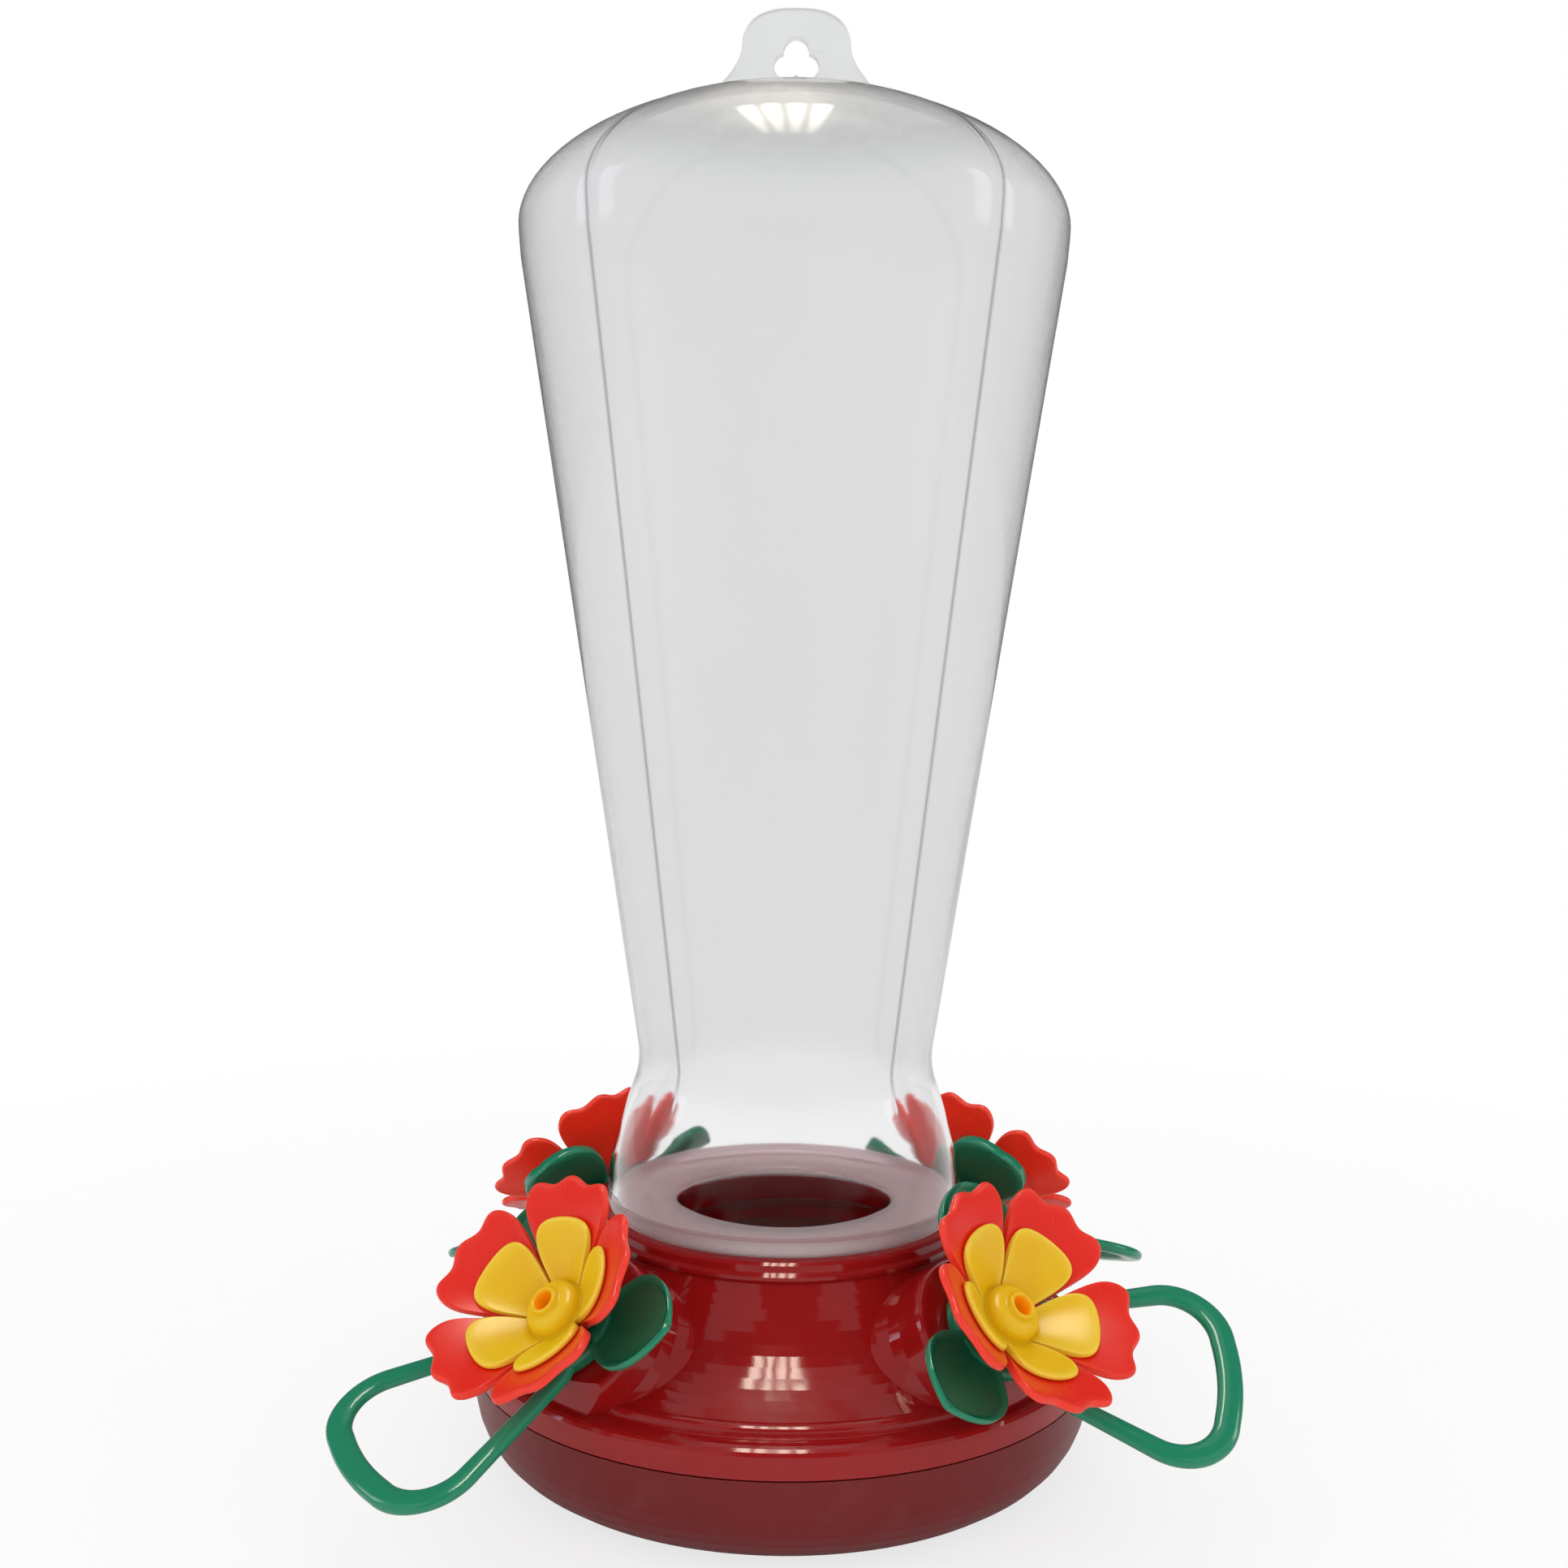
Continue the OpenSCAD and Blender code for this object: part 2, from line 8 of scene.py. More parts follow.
# %% Load the frame
import bpy
import bmesh
import math
from mathutils import Matrix, Vector


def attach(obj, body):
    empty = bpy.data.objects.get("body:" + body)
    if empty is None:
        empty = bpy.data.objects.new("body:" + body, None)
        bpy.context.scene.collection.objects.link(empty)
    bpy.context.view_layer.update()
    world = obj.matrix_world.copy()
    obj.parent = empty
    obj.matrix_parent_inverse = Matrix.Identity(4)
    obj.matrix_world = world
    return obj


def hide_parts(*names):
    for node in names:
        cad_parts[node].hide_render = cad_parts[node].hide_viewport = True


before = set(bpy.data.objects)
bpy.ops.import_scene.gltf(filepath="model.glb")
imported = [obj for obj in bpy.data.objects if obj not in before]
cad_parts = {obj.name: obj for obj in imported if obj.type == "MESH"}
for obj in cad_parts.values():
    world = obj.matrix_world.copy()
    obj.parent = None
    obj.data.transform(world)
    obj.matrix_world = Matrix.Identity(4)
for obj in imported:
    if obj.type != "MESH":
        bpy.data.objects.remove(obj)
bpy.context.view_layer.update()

mm = 0.001
scene = bpy.context.scene

# %% [markdown]
# ## The camera
# The view is a little from above, with a slight roll. A real camera is described by its
# place, its pitch and the length of its lens. The focal length in pixels of a square
# picture turns into a lens in millimetres on Blender's 36 mm sensor.

# %% Camera
picture_px = 1932
focal_px = 2257.6
axis_px = 971.5
camera_place = (0, -0.385, 0.1684)
camera_pitch = 0.071
camera_roll = 0.011

lens = bpy.data.cameras.new("view")
lens.sensor_width = 36
lens.lens = 36 * focal_px / picture_px
lens.shift_x = (picture_px / 2 - axis_px) / picture_px
lens.clip_start = 0.01
camera = bpy.data.objects.new("view", lens)
camera.matrix_world = (Matrix.Translation(camera_place)
                       @ Matrix.Rotation(math.pi / 2 - camera_pitch, 4, "X")
                       @ Matrix.Rotation(camera_roll, 4, "Z"))
scene.collection.objects.link(camera)
scene.camera = camera
scene.view_settings.view_transform = "Standard"
print("lens", round(lens.lens, 2), "mm")

# %% [markdown]
# ## Wiring nodes as formulas
# Geometry and shader trees are both made of small Math nodes. Placing each by hand makes
# long code, so a Wire stands for one value on its way through a tree. Adding or
# multiplying wires places the node that does it, and a rule reads as a formula.

# %% Wires
class Wire:
    """One value on its way through a node tree"""

    def __init__(self, tree, socket):
        self.tree = tree
        self.socket = socket

    def do(self, operation, *others):
        return calc(self.tree, operation, self, *others)

    def __add__(self, other):
        return self.do("ADD", other)

    def __sub__(self, other):
        return self.do("SUBTRACT", other)

    def __rsub__(self, other):
        return calc(self.tree, "SUBTRACT", other, self)

    def __mul__(self, other):
        return self.do("MULTIPLY", other)

    def __truediv__(self, other):
        return self.do("DIVIDE", other)

    def __rtruediv__(self, other):
        return calc(self.tree, "DIVIDE", other, self)

    def __pow__(self, other):
        return self.do("POWER", other)


def plug(tree, socket, value):
    if isinstance(value, Wire):
        tree.links.new(value.socket, socket)
    elif value is not None:
        socket.default_value = value


def place(tree, kind, inputs=None, **settings):
    node = tree.nodes.new(kind)
    for name, value in settings.items():
        setattr(node, name, value)
    for name, value in (inputs or {}).items():
        plug(tree, node.inputs[name], value)
    return node


def out(tree, node, name=0):
    return Wire(tree, node.outputs[name])


def calc(tree, operation, *values):
    node = place(tree, "ShaderNodeMath", operation=operation)
    for socket, value in zip(node.inputs, values):
        plug(tree, socket, value)
    return out(tree, node)


def vector(tree, x, y, z):
    return out(tree, place(tree, "ShaderNodeCombineXYZ", {"X": x, "Y": y, "Z": z}))


def split(tree, wire):
    node = place(tree, "ShaderNodeSeparateXYZ", {"Vector": wire})
    return [out(tree, node, name) for name in "XYZ"]


def clamp(wire):
    return wire.do("MINIMUM", 1).do("MAXIMUM", 0)


# %% [markdown]
# ## Growing a mesh from a rule
# A rule is a Geometry Nodes tree with named sizes. It starts from a small seed mesh, such
# as the outline of a section, and works in millimetres. Most rules bend a flat grid that
# has a row for each point of the seed. Numbers that a finish reads later are stored on the
# flat grid. The result is kept as a plain mesh, and weld puts such meshes together in
# metres. A closed shell must face outwards, and the sign of its volume tells if it does.

# %% Rules
def new_rule(title, sizes):
    tree = bpy.data.node_groups.new(title, "GeometryNodeTree")
    tree.interface.new_socket("Geometry", in_out="INPUT", socket_type="NodeSocketGeometry")
    for name, kind in sizes.items():
        tree.interface.new_socket(name, in_out="INPUT", socket_type="NodeSocket" + kind)
    tree.interface.new_socket("Geometry", in_out="OUTPUT", socket_type="NodeSocketGeometry")
    start = tree.nodes.new("NodeGroupInput")
    given = {socket.name: Wire(tree, socket) for socket in start.outputs if socket.name}
    return tree, given


def end_rule(tree, shape, finish):
    """Every rule ends alike: real geometry, smooth shading, one finish"""
    real = place(tree, "GeometryNodeRealizeInstances", {"Geometry": shape})
    smooth = place(tree, "GeometryNodeSetShadeSmooth", {"Geometry": out(tree, real)})
    painted = place(tree, "GeometryNodeSetMaterial", {"Geometry": out(tree, smooth), "Material": finish})
    end = tree.nodes.new("NodeGroupOutput")
    plug(tree, end.inputs[0], out(tree, painted))


def store(tree, shape, name, value):
    """Keeps a number on every point of the flat grid, before the grid takes its shape"""
    node = place(tree, "GeometryNodeStoreNamedAttribute", {"Geometry": shape, "Name": name},
                 data_type="FLOAT", domain="POINT")
    plug(tree, node.inputs["Value"], value)
    return out(tree, node)


def grid_over(tree, line, columns, width=1.0):
    """A flat grid with a row for each point of the line, and the place across it"""
    rows = out(tree, place(tree, "GeometryNodeAttributeDomainSize", {"Geometry": line}), "Point Count")
    grid = place(tree, "GeometryNodeMeshGrid", {"Size X": 1.0, "Size Y": width, "Vertices X": rows,
                                                "Vertices Y": columns})
    here = out(tree, place(tree, "GeometryNodeInputPosition"))
    along, across, unused = split(tree, here)
    row = ((along + 0.5) * (rows - 1) + 0.5).do("FLOOR")

    def on_line(kind="FLOAT_VECTOR", name=None):
        """The position of the row's point on the line, or what is stored there by a name"""
        value = here
        if name:
            node = place(tree, "GeometryNodeInputNamedAttribute", {"Name": name}, data_type=kind)
            value = out(tree, node, "Attribute")
        return out(tree, place(tree, "GeometryNodeSampleIndex", {
            "Geometry": line, "Value": value, "Index": row}, data_type=kind, domain="POINT"))

    return out(tree, grid), across, on_line


def bend(tree, grid, spot, merge):
    """Moves the points of the grid to their places and joins those that meet"""
    moved = place(tree, "GeometryNodeSetPosition", {"Geometry": grid, "Position": spot})
    return out(tree, place(tree, "GeometryNodeMergeByDistance", {
        "Geometry": out(tree, moved), "Distance": merge}))


def seed_line(points, **marks):
    """A line of points with named numbers or vectors on each of them"""
    mesh = bpy.data.meshes.new("seed")
    mesh.from_pydata(points, [(i, i + 1) for i in range(len(points) - 1)], [])
    for name, values in marks.items():
        vectors = hasattr(values[0], "__len__")
        mark = mesh.attributes.new(name, "FLOAT_VECTOR" if vectors else "FLOAT", "POINT")
        for item, value in zip(mark.data, values):
            setattr(item, "vector" if vectors else "value", value)
    return mesh


def signed_volume(mesh):
    mesh.calc_loop_triangles()
    corner = [v.co for v in mesh.vertices]
    return sum(corner[a].dot(corner[b].cross(corner[c])) for a, b, c in
               (t.vertices for t in mesh.loop_triangles)) / 6


def face_outwards(mesh):
    if signed_volume(mesh) < 0:
        mesh.flip_normals()


def grow(rule, seed, finish, **sizes):
    """Runs a rule on a seed mesh and returns the result as a plain mesh in millimetres"""
    worker = bpy.data.objects.new("worker", seed)
    scene.collection.objects.link(worker)
    modifier = worker.modifiers.new("rule", "NODES")
    modifier.node_group = rule
    sizes["Finish"] = finish
    for item in rule.interface.items_tree:
        if item.in_out == "INPUT" and item.name.replace(" ", "_") in sizes:
            modifier[item.identifier] = sizes[item.name.replace(" ", "_")]
    worker.update_tag()
    graph = bpy.context.evaluated_depsgraph_get()
    graph.update()
    mesh = bpy.data.meshes.new_from_object(worker.evaluated_get(graph))
    worker.modifiers.remove(modifier)
    bpy.data.objects.remove(worker)
    face_outwards(mesh)
    return mesh


def weld(meshes, name, finish, turn=None):
    """Joins meshes in one object, in metres. Sides that a rule left open are closed, and
    the new faces are turned to face the same way as their neighbours"""
    pot = bmesh.new()
    for mesh in meshes:
        pot.from_mesh(mesh)
    open_edges = [edge for edge in pot.edges if edge.is_boundary]
    for face in bmesh.ops.holes_fill(pot, edges=open_edges)["faces"]:
        loop = face.loops[0]
        if loop.link_loop_radial_next.vert == loop.vert:
            face.normal_flip()
    pot.transform(Matrix.Scale(mm, 4) @ (turn or Matrix.Identity(4)))
    whole = bpy.data.meshes.new(name)
    pot.to_mesh(whole)
    pot.free()
    whole.materials.clear()
    whole.materials.append(finish)
    whole.shade_smooth()
    piece = bpy.data.objects.new(name, whole)
    scene.collection.objects.link(piece)
    print(name, len(whole.polygons), "faces")
    return piece


# %% [markdown]
# ## The moulded surface
# Injection moulded plastic is never one flat colour. Melt flow makes it slightly cloudy, the
# tool leaves a very fine grain, handling leaves hairline scratches, and dust dulls it in
# patches. All the coloured plastics share this, so it is one shader group with named
# inputs that each finish fills in for itself. Noise scales are in waves per metre, so 28 is
# the slow flow of the melt and 2600 the fine grain.

# %% Shader groups
def new_group(title, sizes, results):
    tree = bpy.data.node_groups.new(title, "ShaderNodeTree")
    for name, (kind, value) in sizes.items():
        socket = tree.interface.new_socket(name, in_out="INPUT", socket_type="NodeSocket" + kind)
        socket.default_value = value
    for name, kind in results.items():
        tree.interface.new_socket(name, in_out="OUTPUT", socket_type="NodeSocket" + kind)
    start = tree.nodes.new("NodeGroupInput")
    given = {socket.name: Wire(tree, socket) for socket in start.outputs if socket.name}
    return tree, given, tree.nodes.new("NodeGroupOutput")


def noise(tree, spot, scale, detail=2, rough=0.5):
    node = place(tree, "ShaderNodeTexNoise", {"Vector": spot, "Scale": scale, "Detail": detail,
                                              "Roughness": rough})
    return out(tree, node, "Fac")


def stretch(tree, spot, scale):
    return out(tree, place(tree, "ShaderNodeMapping", {"Vector": spot, "Scale": scale}))


def mark_of(tree, name):
    """A number that a rule has stored on the mesh"""
    return out(tree, place(tree, "ShaderNodeAttribute", attribute_name=name), "Fac")


def mix_colour(tree, share, low, high):
    node = place(tree, "ShaderNodeMix", {"Factor": share, 6: low, 7: high}, data_type="RGBA")
    return out(tree, node, 2)


def moulded_group():
    tree, given, end = new_group("Moulded surface", {
        "Position": ("Vector", (0, 0, 0)), "Colour": ("Color", (0.5, 0.5, 0.5, 1)),
        "Deep colour": ("Color", (0.4, 0.4, 0.4, 1)), "Roughness": ("Float", 0.2),
        "Dust": ("Float", 0.2), "Grain": ("Float", 0.5)},
        {"Colour": "Color", "Roughness": "Float", "Height": "Float"})
    spot = given["Position"]
    flow = noise(tree, spot, 28, 3, 0.55)
    cloud = noise(tree, stretch(tree, spot, (1, 1, 0.35)), 75, 4, 0.6)
    grain = noise(tree, spot, 2600, 2, 0.6)
    dust = clamp((noise(tree, spot, 120, 5, 0.65) - 0.52) * 5)
    hair = noise(tree, stretch(tree, spot, (1, 0.06, 0.3)), 900, 1, 0.4)
    scratch = clamp((hair - 0.7) * 8)
    depth = clamp((flow - 0.3) * 1.3) * 0.65 + clamp((cloud - 0.3) * 1.6) * 0.35
    colour = mix_colour(tree, depth, given["Deep colour"], given["Colour"])
    pale = mix_colour(tree, dust * given["Dust"] * 0.04, colour, (0.6, 0.56, 0.52, 1))
    plug(tree, end.inputs["Colour"], pale)
    rough = given["Roughness"] + (cloud - 0.5) * 0.06 + dust * given["Dust"] * 0.1 + scratch * 0.05
    plug(tree, end.inputs["Roughness"], clamp(rough))
    ripple = noise(tree, spot, 160, 1, 0.4)
    plug(tree, end.inputs["Height"], (grain * 0.25 - scratch * 0.3) * given["Grain"] + ripple * 1.2)
    return tree


def painted_rim_light_group():
    """Paints light on thin plastic: the painted-light mark turns the colour towards a lit or shaded
    tone, and the rim mark paints a paler highlight on thin edges
    """
    tree, given, end = new_group("Painted rim light", {
        "Colour": ("Color", (0.5, 0.5, 0.5, 1)), "Rim highlight colour": ("Color", (0.8, 0.8, 0.8, 1)),
        "Painted light colour": ("Color", (0.5, 0.3, 0.1, 1)), "Strength": ("Float", 0.5)},
        {"Colour": "Color"})
    painted_tone = mix_colour(tree, mark_of(tree, "tint"), given["Colour"], given["Painted light colour"])
    share = clamp(mark_of(tree, "rim")) ** 1.5 * given["Strength"]
    lit = mix_colour(tree, share, painted_tone, given["Rim highlight colour"])
    plug(tree, end.inputs["Colour"], lit)
    return tree


moulded = moulded_group()
painted_rim_light = painted_rim_light_group()
print("groups", moulded.name, painted_rim_light.name)


# %% [markdown]
# ## The finishes
# Each finish is a Principled shader that takes its colour, roughness and bump from the
# groups. The cover is glossy, the dish is duller because it is scrubbed most, and the
# flowers and perches are softer plastic with a paler highlight painted on their thin rims.

# %% Coloured plastics
def new_finish(title, **constants):
    finish = bpy.data.materials.new(title)
    finish.use_nodes = True
    shader = finish.node_tree.nodes["Principled BSDF"]
    for name, value in constants.items():
        shader.inputs[name.replace("_", " ")].default_value = value
    return finish, finish.node_tree, shader


def object_spot(tree):
    return out(tree, place(tree, "ShaderNodeTexCoord"), "Object")


def bump(tree, shader, height, strength, distance):
    node = place(tree, "ShaderNodeBump", {"Height": height, "Strength": strength, "Distance": distance})
    plug(tree, shader.inputs["Normal"], out(tree, node))


def plastic(title, colour, deep, rough, dust, grain, rim=None, tint=None, rim_strength=0.5,
            painted_glow=None, **constants):
    finish, tree, shader = new_finish(title, **constants)
    group = place(tree, "ShaderNodeGroup", {
        "Position": object_spot(tree), "Colour": (*colour, 1), "Deep colour": (*deep, 1),
        "Roughness": rough, "Dust": dust, "Grain": grain}, node_tree=moulded)
    surface = out(tree, group, "Colour")
    if rim:
        edge = place(tree, "ShaderNodeGroup", {
            "Colour": surface, "Rim highlight colour": (*rim, 1), "Painted light colour": (*(tint or deep), 1),
            "Strength": rim_strength}, node_tree=painted_rim_light)
        surface = out(tree, edge, "Colour")
    # Painted glow: where the painted-light mark is, the surface gives off a faint light of its own.
    if painted_glow:
        inner = mix_colour(tree, mark_of(tree, "tint"), (0, 0, 0, 1), (*painted_glow, 1))
        plug(tree, shader.inputs["Emission Color"], inner)
        shader.inputs["Emission Strength"].default_value = 1.0
    plug(tree, shader.inputs["Base Color"], surface)
    plug(tree, shader.inputs["Roughness"], out(tree, group, "Roughness"))
    bump(tree, shader, out(tree, group, "Height"), 0.25, 0.0002)
    return finish


red_plastic = plastic("red_cover_plastic", (0.335, 0.008, 0.008), (0.27, 0.005, 0.006),
                      rough=0.07, dust=0.2, grain=0.3, IOR=1.5, Specular_IOR_Level=0.38)
dish_plastic = plastic("red_dish_plastic", (0.178, 0.009, 0.008), (0.148, 0.007, 0.007),
                       rough=0.34, dust=0.4, grain=0.6, IOR=1.5, Specular_IOR_Level=0.3)
petal_plastic = plastic("red_petal_plastic", (0.8, 0.021, 0.008), (0.74, 0.014, 0.006),
                        rough=0.26, dust=0.2, grain=0.4, rim=(0.82, 0.085, 0.05),
                        rim_strength=0.4, tint=(0.98, 0.04, 0.016), IOR=1.5,
                        Specular_IOR_Level=0.3, Subsurface_Weight=0.5, Subsurface_Scale=0.004)
yellow_plastic = plastic("yellow_flower_plastic", (0.87, 0.67, 0.008), (0.79, 0.43, 0.005),
                         rough=0.26, dust=0.2, grain=0.4, rim=(0.9, 0.66, 0.07),
                         rim_strength=0.6, tint=(0.8, 0.28, 0.004), painted_glow=(0.2, 0.07, 0.0), IOR=1.5,
                         Specular_IOR_Level=0.3, Subsurface_Weight=0.1, Subsurface_Scale=0.002)
green_plastic = plastic("green_perch_plastic", (0.006, 0.18, 0.088), (0.005, 0.13, 0.06),
                        rough=0.13, dust=0.2, grain=0.4, rim=(0.015, 0.26, 0.14),
                        rim_strength=0.7, IOR=1.5)
seal_rubber = plastic("seal_rubber", (0.6, 0.56, 0.57), (0.52, 0.48, 0.5),
                      rough=0.6, dust=0.4, grain=1.0, IOR=1.45)
print("coloured plastics ready")

# %% [markdown]
# ## Clear plastic
# The bottle is blown from clear resin. Its walls are real here, an outer and an inner skin,
# so light bends where it should. The thickness wanders a little, which shows as a soft
# waviness: a low bump from wide noise, stretched along the bottle. The dome is hazier, and a
# darker grey is painted over its crown as shade. Dark lines are painted as shade along the
# creases and where the lobed wall is seen edge-on, and the red of the socket round the neck
# is painted into its colour. The seat and the hang tab are thick and milky, so they have a
# finish of their own, and the red base under the seat is painted into it as pink.
# A finish reads its places in metres.

# %% Clear plastic
neck_top = 0.0505
dome_low_z = 0.272
dome_fade = 0.008
seat_out_r = 0.0355
seat_in_r = 0.0266
seat_fade = 0.0015
tab_from_z = 0.15


def clear_finish():
    finish, tree, shader = new_finish("clear_bottle_plastic", Transmission_Weight=1.0, IOR=1.46,
                                      Specular_Tint=(0.18, 0.18, 0.18, 1))
    spot = object_spot(tree)
    wander = noise(tree, stretch(tree, spot, (1, 1, 0.3)), 45, 2, 0.5)
    body = mix_colour(tree, wander, (0.83, 0.832, 0.838, 1), (0.86, 0.862, 0.866, 1))
    x, y, z = split(tree, spot)
    # Below neck_top the red of the socket seen through the neck is painted into its colour.
    on_neck = z.do("LESS_THAN", neck_top)
    skirt = mix_colour(tree, on_neck, (0.95, 0.95, 0.955, 1), (0.62, 0.42, 0.44, 1))
    # Over the dome's crown a darker grey is painted as shade, and the crown is rougher too.
    high = clamp((z - dome_low_z) / dome_fade)
    lobed = mark_of(tree, "lobed")
    tone = mix_colour(tree, lobed, skirt, mix_colour(tree, high, body, (0.78, 0.795, 0.79, 1)))
    # Painted shade: the colour turns dark grey where the lobed wall is seen edge-on, and along the
    # creases of the outer skin, less so from behind.
    slant = out(tree, place(tree, "ShaderNodeLayerWeight", {"Blend": 0.5}), "Facing")
    behind = out(tree, place(tree, "ShaderNodeNewGeometry"), "Backfacing")
    painted_crease_shade = mark_of(tree, "crease") * mark_of(tree, "tint") * (1 - behind * 0.75)
    thick = clamp(slant ** 6 * lobed * 0.4 + painted_crease_shade)
    plug(tree, shader.inputs["Base Color"], mix_colour(tree, thick, tone, (0.22, 0.22, 0.225, 1)))
    haze = clamp((noise(tree, spot, 130, 4, 0.6) - 0.55) * 4)
    plug(tree, shader.inputs["Roughness"], haze * 0.04 + lobed * 0.05 + high * 0.2 + 0.05)
    bump(tree, shader, wander + noise(tree, spot, 700, 1, 0.4) * 0.02, 0.2, 0.0005)
    return finish


def off_axis(tree, spot):
    """Distance from the upright axis, and height"""
    x, y, z = split(tree, spot)
    return (x * x + y * y).do("SQRT"), z


def milky_finish():
    """The seat has the red of the base below painted in as pink, and is paler along both edges of its
    ring
    """
    finish, tree, shader = new_finish("milky_bottle_plastic", Transmission_Weight=0.65, IOR=1.3)
    spot = object_spot(tree)
    ring, z = off_axis(tree, spot)
    wander = noise(tree, spot, 60, 3, 0.5)
    tab = mix_colour(tree, wander, (0.8, 0.82, 0.815, 1), (0.86, 0.875, 0.87, 1))
    edge = clamp((ring - seat_out_r) / seat_fade + clamp((seat_in_r - ring) / seat_fade))
    # The seat's pink is the red base seen through it, painted into its colour.
    flat = mix_colour(tree, wander, (0.53, 0.36, 0.385, 1), (0.6, 0.455, 0.475, 1))
    seat = mix_colour(tree, edge * 0.7, flat, (0.85, 0.8, 0.8, 1))
    on_tab = z.do("GREATER_THAN", tab_from_z)
    plug(tree, shader.inputs["Base Color"], mix_colour(tree, on_tab, seat, tab))
    plug(tree, shader.inputs["Roughness"], wander * 0.15 + 0.3)
    bump(tree, shader, wander, 0.2, 0.0004)
    return finish


milky_plastic = milky_finish()
clear_plastic = clear_finish()
print("clear plastic ready")

# %% [markdown]
# ## Floor and light
# The feeder stands on a pale floor that fades into a white room. The floor is plain and
# matt near the object, where it keeps the shadow, and gives way to plain white further
# out. Four soft boxes give an even light. Four warm strips in a row above stand for the
# panes of a window, and two more at the sides edge the base. The strips show only in
# reflections, the front box shows in none, and no lamp is seen through the clear bottle.

# %% Floor
floor_half = 3
floor_drop = 0.0002
fade_from = 0.1
fade_to = 0.42
near_white = 0.75


def floor_finish():
    finish, tree, shader = new_finish("pale_floor", Roughness=0.8)
    spot = object_spot(tree)
    away, z = off_axis(tree, spot)
    speck = noise(tree, spot, 60, 3, 0.5)
    plain = mix_colour(tree, speck, (0.9, 0.9, 0.9, 1), (0.94, 0.94, 0.94, 1))
    plug(tree, shader.inputs["Base Color"], plain)
    white = place(tree, "ShaderNodeEmission", {"Color": (1, 1, 1, 1), "Strength": 1.0})
    path = place(tree, "ShaderNodeLightPath")
    seen = out(tree, path, "Is Camera Ray") + out(tree, path, "Is Transmission Ray")
    share = clamp((away - fade_from) / (fade_to - fade_from)) * (1 - near_white) + near_white
    blend = place(tree, "ShaderNodeMixShader")
    plug(tree, blend.inputs[0], share * clamp(seen))
    plug(tree, blend.inputs[1], out(tree, shader))
    plug(tree, blend.inputs[2], out(tree, white))
    plug(tree, tree.nodes["Material Output"].inputs["Surface"], out(tree, blend))
    return finish


floor_mesh = bpy.data.meshes.new("floor")
floor_mesh.from_pydata([(-floor_half, -floor_half, 0), (floor_half, -floor_half, 0),
                        (floor_half, floor_half, 0), (-floor_half, floor_half, 0)], [], [(0, 1, 2, 3)])
floor_mesh.materials.append(floor_finish())
floor = bpy.data.objects.new("floor", floor_mesh)
floor.location.z = -floor_drop
scene.collection.objects.link(floor)

# %% Room and lamps
room_level = 0.75
gloss_share = 0.12


def room():
    world = bpy.data.worlds.new("room")
    scene.world = world
    world.use_nodes = True
    tree = world.node_tree
    path = place(tree, "ShaderNodeLightPath")
    seen = out(tree, path, "Is Camera Ray") + out(tree, path, "Is Transmission Ray")
    glossy = out(tree, path, "Is Glossy Ray") * gloss_share
    soft = out(tree, path, "Is Diffuse Ray") * room_level
    tone = mix_colour(tree, clamp(seen + glossy + soft), (0, 0, 0, 1), (1, 1, 1, 1))
    plug(tree, tree.nodes["Background"].inputs["Color"], tone)


room()


def lamp(name, spot, aim, wide, tall, power, colour=(1, 1, 1), only_gloss=False, no_gloss=False):
    light = bpy.data.lights.new(name, "AREA")
    light.shape = "RECTANGLE"
    light.size = wide
    light.size_y = tall
    light.energy = power
    light.color = colour
    holder = bpy.data.objects.new(name, light)
    holder.matrix_world = (Matrix.Translation(spot)
                           @ (Vector(aim) - Vector(spot)).to_track_quat("-Z", "Y").to_matrix().to_4x4())
    holder.visible_diffuse = not only_gloss
    holder.visible_glossy = not no_gloss
    holder.visible_transmission = False
    scene.collection.objects.link(holder)


middle = (0, 0, 0.12)
base_middle = (0, 0, 0.04)
first_pane = -0.129
pane_step = 0.066
lamp("left_box", (-1.1, -0.9, 0.8), middle, wide=1.8, tall=1.8, power=5.2)
lamp("right_box", (1.2, -0.75, 0.65), middle, wide=1.7, tall=1.7, power=4.2)
lamp("top_box", (0.0, 0.2, 1.3), middle, wide=1.0, tall=1.0, power=1.6)
lamp("front_box", (0.0, -1.6, 0.2), middle, wide=2.4, tall=1.8, power=3.6, no_gloss=True)
for i in range(4):
    pane = (first_pane + pane_step * i, -0.08, 1.0)
    lamp("window_%d" % i, pane, (pane[0], pane[1], 0), wide=0.04, tall=0.6, power=1.6,
         colour=(1.0, 0.9, 0.76), only_gloss=True)
lamp("left_strip", (-0.87, -0.05, 0.49), base_middle, wide=0.16, tall=0.4, power=0.9,
     colour=(0.84, 0.84, 1.0), only_gloss=True)
lamp("right_strip", (0.87, -0.05, 0.49), base_middle, wide=0.16, tall=0.4, power=0.9,
     colour=(1.0, 0.93, 0.95), only_gloss=True)
print("floor, room and lamps ready")

# %% [markdown]
# ## The bottle
# Its four lobes are arcs that meet in creases. Every level has the same plan, only scaled,
# so one outline from mouth to dome and one rule for the plan give the whole bottle. The
# rule spins the outline round the axis and pushes each level out into lobes. The outline
# runs down the inside, round the mouth and up the outside, which closes the wall.

# %% Turning rule
crease_w = 0.85


